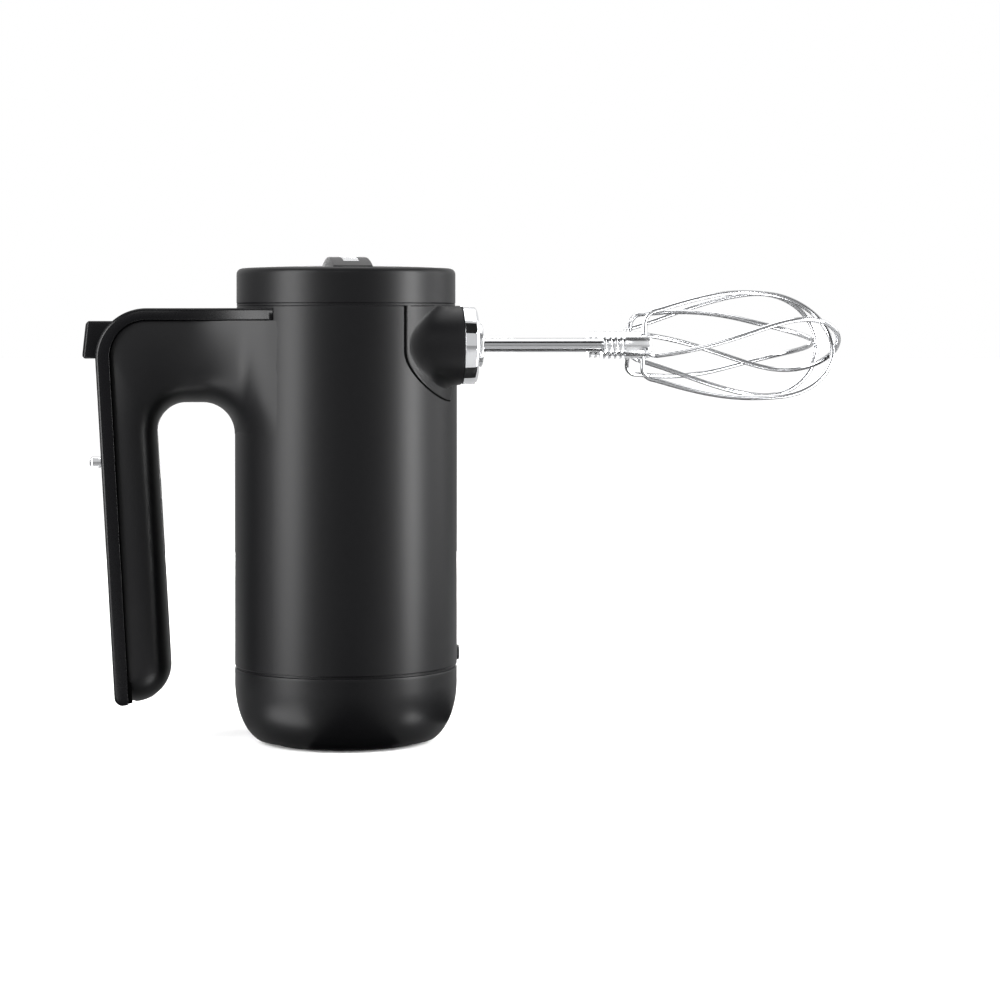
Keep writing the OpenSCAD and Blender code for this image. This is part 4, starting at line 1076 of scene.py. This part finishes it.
# %% [markdown]
# ## Floor and light
# The mixer stands on a plain white table in a white room. Black plastic has hardly any colour of its
# own, so what the eye sees on it is reflected light. Two tall soft boxes, one on each side, draw the
# two upright highlights. The room is dimmer to reflections than to the eye. Level cards, as a
# photographer would lay or hang, do the rest: black ones draw the dark bands in the chrome, and lit
# ones brighten the base cup, the pod and the handle. Only reflections see the cards.

# %% Floor
FLOOR_R = 12000.0
ring_r = np.array([0.0, 60.0, 150.0, 400.0, 1200.0, 4000.0, FLOOR_R])
floor_points = turned(np.stack([ring_r, 0 * ring_r], axis=-1), steps=97)
floor = build("floor", [(floor_points, False, None)])
material, tree, coords = start_material("white_table")
rays = add(tree, "ShaderNodeLightPath")
seen = add(tree, "ShaderNodeBsdfPrincipled", Base_Color=linear("#ececec"), Roughness=0.7,
           Specular_IOR_Level=0.1, Emission_Color=linear("#ffffff"), Emission_Strength=0.08)
bounced = add(tree, "ShaderNodeBsdfDiffuse", Color=linear("#949494"))
shader = add(tree, "ShaderNodeMixShader", {0: rays.outputs["Is Camera Ray"], 1: bounced.outputs[0],
                                           2: seen.outputs[0]})
floor.data.materials.append(finish_material(material, tree, shader))


# %% Lights
def soft_box(name, angle, distance_mm, size_mm, radiance, height_mm=330.0):
    """Upright area light round the mixer; the angle counts from -Y towards +X, and the power is the
    radiance times pi times the area."""
    data = bpy.data.lights.new(name, "AREA")
    data.shape = "RECTANGLE"
    data.size, data.size_y = size_mm[0] * MM, size_mm[1] * MM
    data.energy = radiance * np.pi * data.size * data.size_y
    light = bpy.data.objects.new(name, data)
    a = np.radians(angle)
    spot = Vector((np.sin(a), -np.cos(a), 0.0)) * distance_mm * MM
    light.rotation_euler = (np.pi / 2, 0.0, a)
    light.location = spot + Vector((0.0, 0.0, height_mm * MM))
    bpy.context.scene.collection.objects.link(light)
    return light


soft_box("soft_box_left", -62.0, 700.0, (320.0, 700.0), 21.5, 352.0)
soft_box("soft_box_right", 66.0, 800.0, (170.0, 700.0), 51.0, 352.0)
soft_box("soft_box_rim", 104.0, 1200.0, (460.0, 900.0), 4.5, 452.0)
soft_box("soft_box_back", 176.0, 900.0, (240.0, 300.0), 9.0, 152.0)


def card(name, corners, radiance):
    """Level four-sided card that only reflections can see: black, or lit like a soft box."""
    (ax, ay), (bx, by), (cx, cy), (dx, dy), z = corners
    points = np.array([[[ax, ay, z], [bx, by, z]], [[dx, dy, z], [cx, cy, z]]], dtype=float)
    sheet = build(name, [(points, False, None)])
    material, tree, coords = start_material(name)
    glow = add(tree, "ShaderNodeEmission", Color=(1.0, 1.0, 1.0, 1.0), Strength=radiance)
    sheet.data.materials.append(finish_material(material, tree, glow))
    for ray in ("camera", "diffuse", "shadow", "transmission"):
        setattr(sheet, f"visible_{ray}", False)
    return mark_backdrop(sheet)


def beam(near_a, near_b, angle_a, angle_b, z, reach=1300.0):
    """Corners of a card that fans out from two near points along two directions."""
    a, b = np.radians([angle_a, angle_b])
    far_a = (near_a[0] + reach * np.sin(a), near_a[1] - reach * np.cos(a))
    far_b = (near_b[0] + reach * np.sin(b), near_b[1] - reach * np.cos(b))
    return near_a, near_b, far_b, far_a, z


card("card_above", ((-400.0, -580.0), (700.0, -580.0), (700.0, -180.0), (-400.0, -180.0), 560.0), 0.02)
card("card_under_collar", ((46.0, -92.0), (260.0, -92.0), (260.0, 30.0), (46.0, 30.0), 2.6), 0.02)
card("card_under_beaters", ((180.0, -340.0), (420.0, -340.0), (420.0, -92.0), (180.0, -92.0), 1.6), 0.05)
card("card_under_grip", ((-116.0, -110.0), (-70.0, -110.0), (-70.0, 40.0), (-116.0, 40.0), 3.0), 0.4)
card("card_under_front", ((-17.0, -300.0), (20.0, -300.0), (20.0, -32.0), (-17.0, -32.0), 1.0), 0.02)
card("soft_box_above", ((-300.0, -150.0), (300.0, -150.0), (300.0, 500.0), (-300.0, 500.0), 700.0), 4.0)
card("soft_box_front", ((-240.0, -860.0), (10.0, -860.0), (0.0, -520.0), (-180.0, -520.0), 480.0), 8.0)
card("card_floor_left", beam((-24.0, -46.0), (-56.0, -24.0), -56.0, -70.0, 2.0), 11.0)
card("card_floor_right", beam((34.0, -42.0), (56.0, -24.0), 60.0, 72.0, 2.0), 20.0)


# %% World
def level(tree, value):
    """Background of one brightness."""
    return add(tree, "ShaderNodeBackground", Color=(1.0, 1.0, 1.0, 1.0), Strength=value)


def room(seen, falling, front, behind):
    """World: one brightness to the camera, one to matt surfaces, and to reflections a change from the
    camera's side of the room to the side behind the mixer."""
    world = bpy.data.worlds.new("room")
    bpy.context.scene.world = world
    world.use_nodes = True
    tree = world.node_tree
    tree.nodes.clear()
    direction = add(tree, "ShaderNodeTexCoord").outputs["Generated"]
    away = add(tree, "ShaderNodeSeparateXYZ", {"Vector": direction}).outputs["Y"]
    share = add(tree, "ShaderNodeMapRange", {"Value": away}, From_Min=-0.2, From_Max=0.5)
    rays = add(tree, "ShaderNodeLightPath")
    mirrored = add(tree, "ShaderNodeMixShader",
                   {0: share.outputs["Result"], 1: level(tree, front).outputs[0],
                    2: level(tree, behind).outputs[0]})
    lit = add(tree, "ShaderNodeMixShader",
              {0: rays.outputs["Is Glossy Ray"], 1: level(tree, falling).outputs[0],
               2: mirrored.outputs[0]})
    whole = add(tree, "ShaderNodeMixShader",
                {0: rays.outputs["Is Camera Ray"], 1: lit.outputs[0],
                 2: level(tree, seen).outputs[0]})
    output = tree.nodes.new("ShaderNodeOutputWorld")
    tree.links.new(whole.outputs[0], output.inputs["Surface"])


room(seen=1.0, falling=1.2, front=0.72, behind=0.92)
bpy.context.scene.view_settings.view_transform = "Standard"
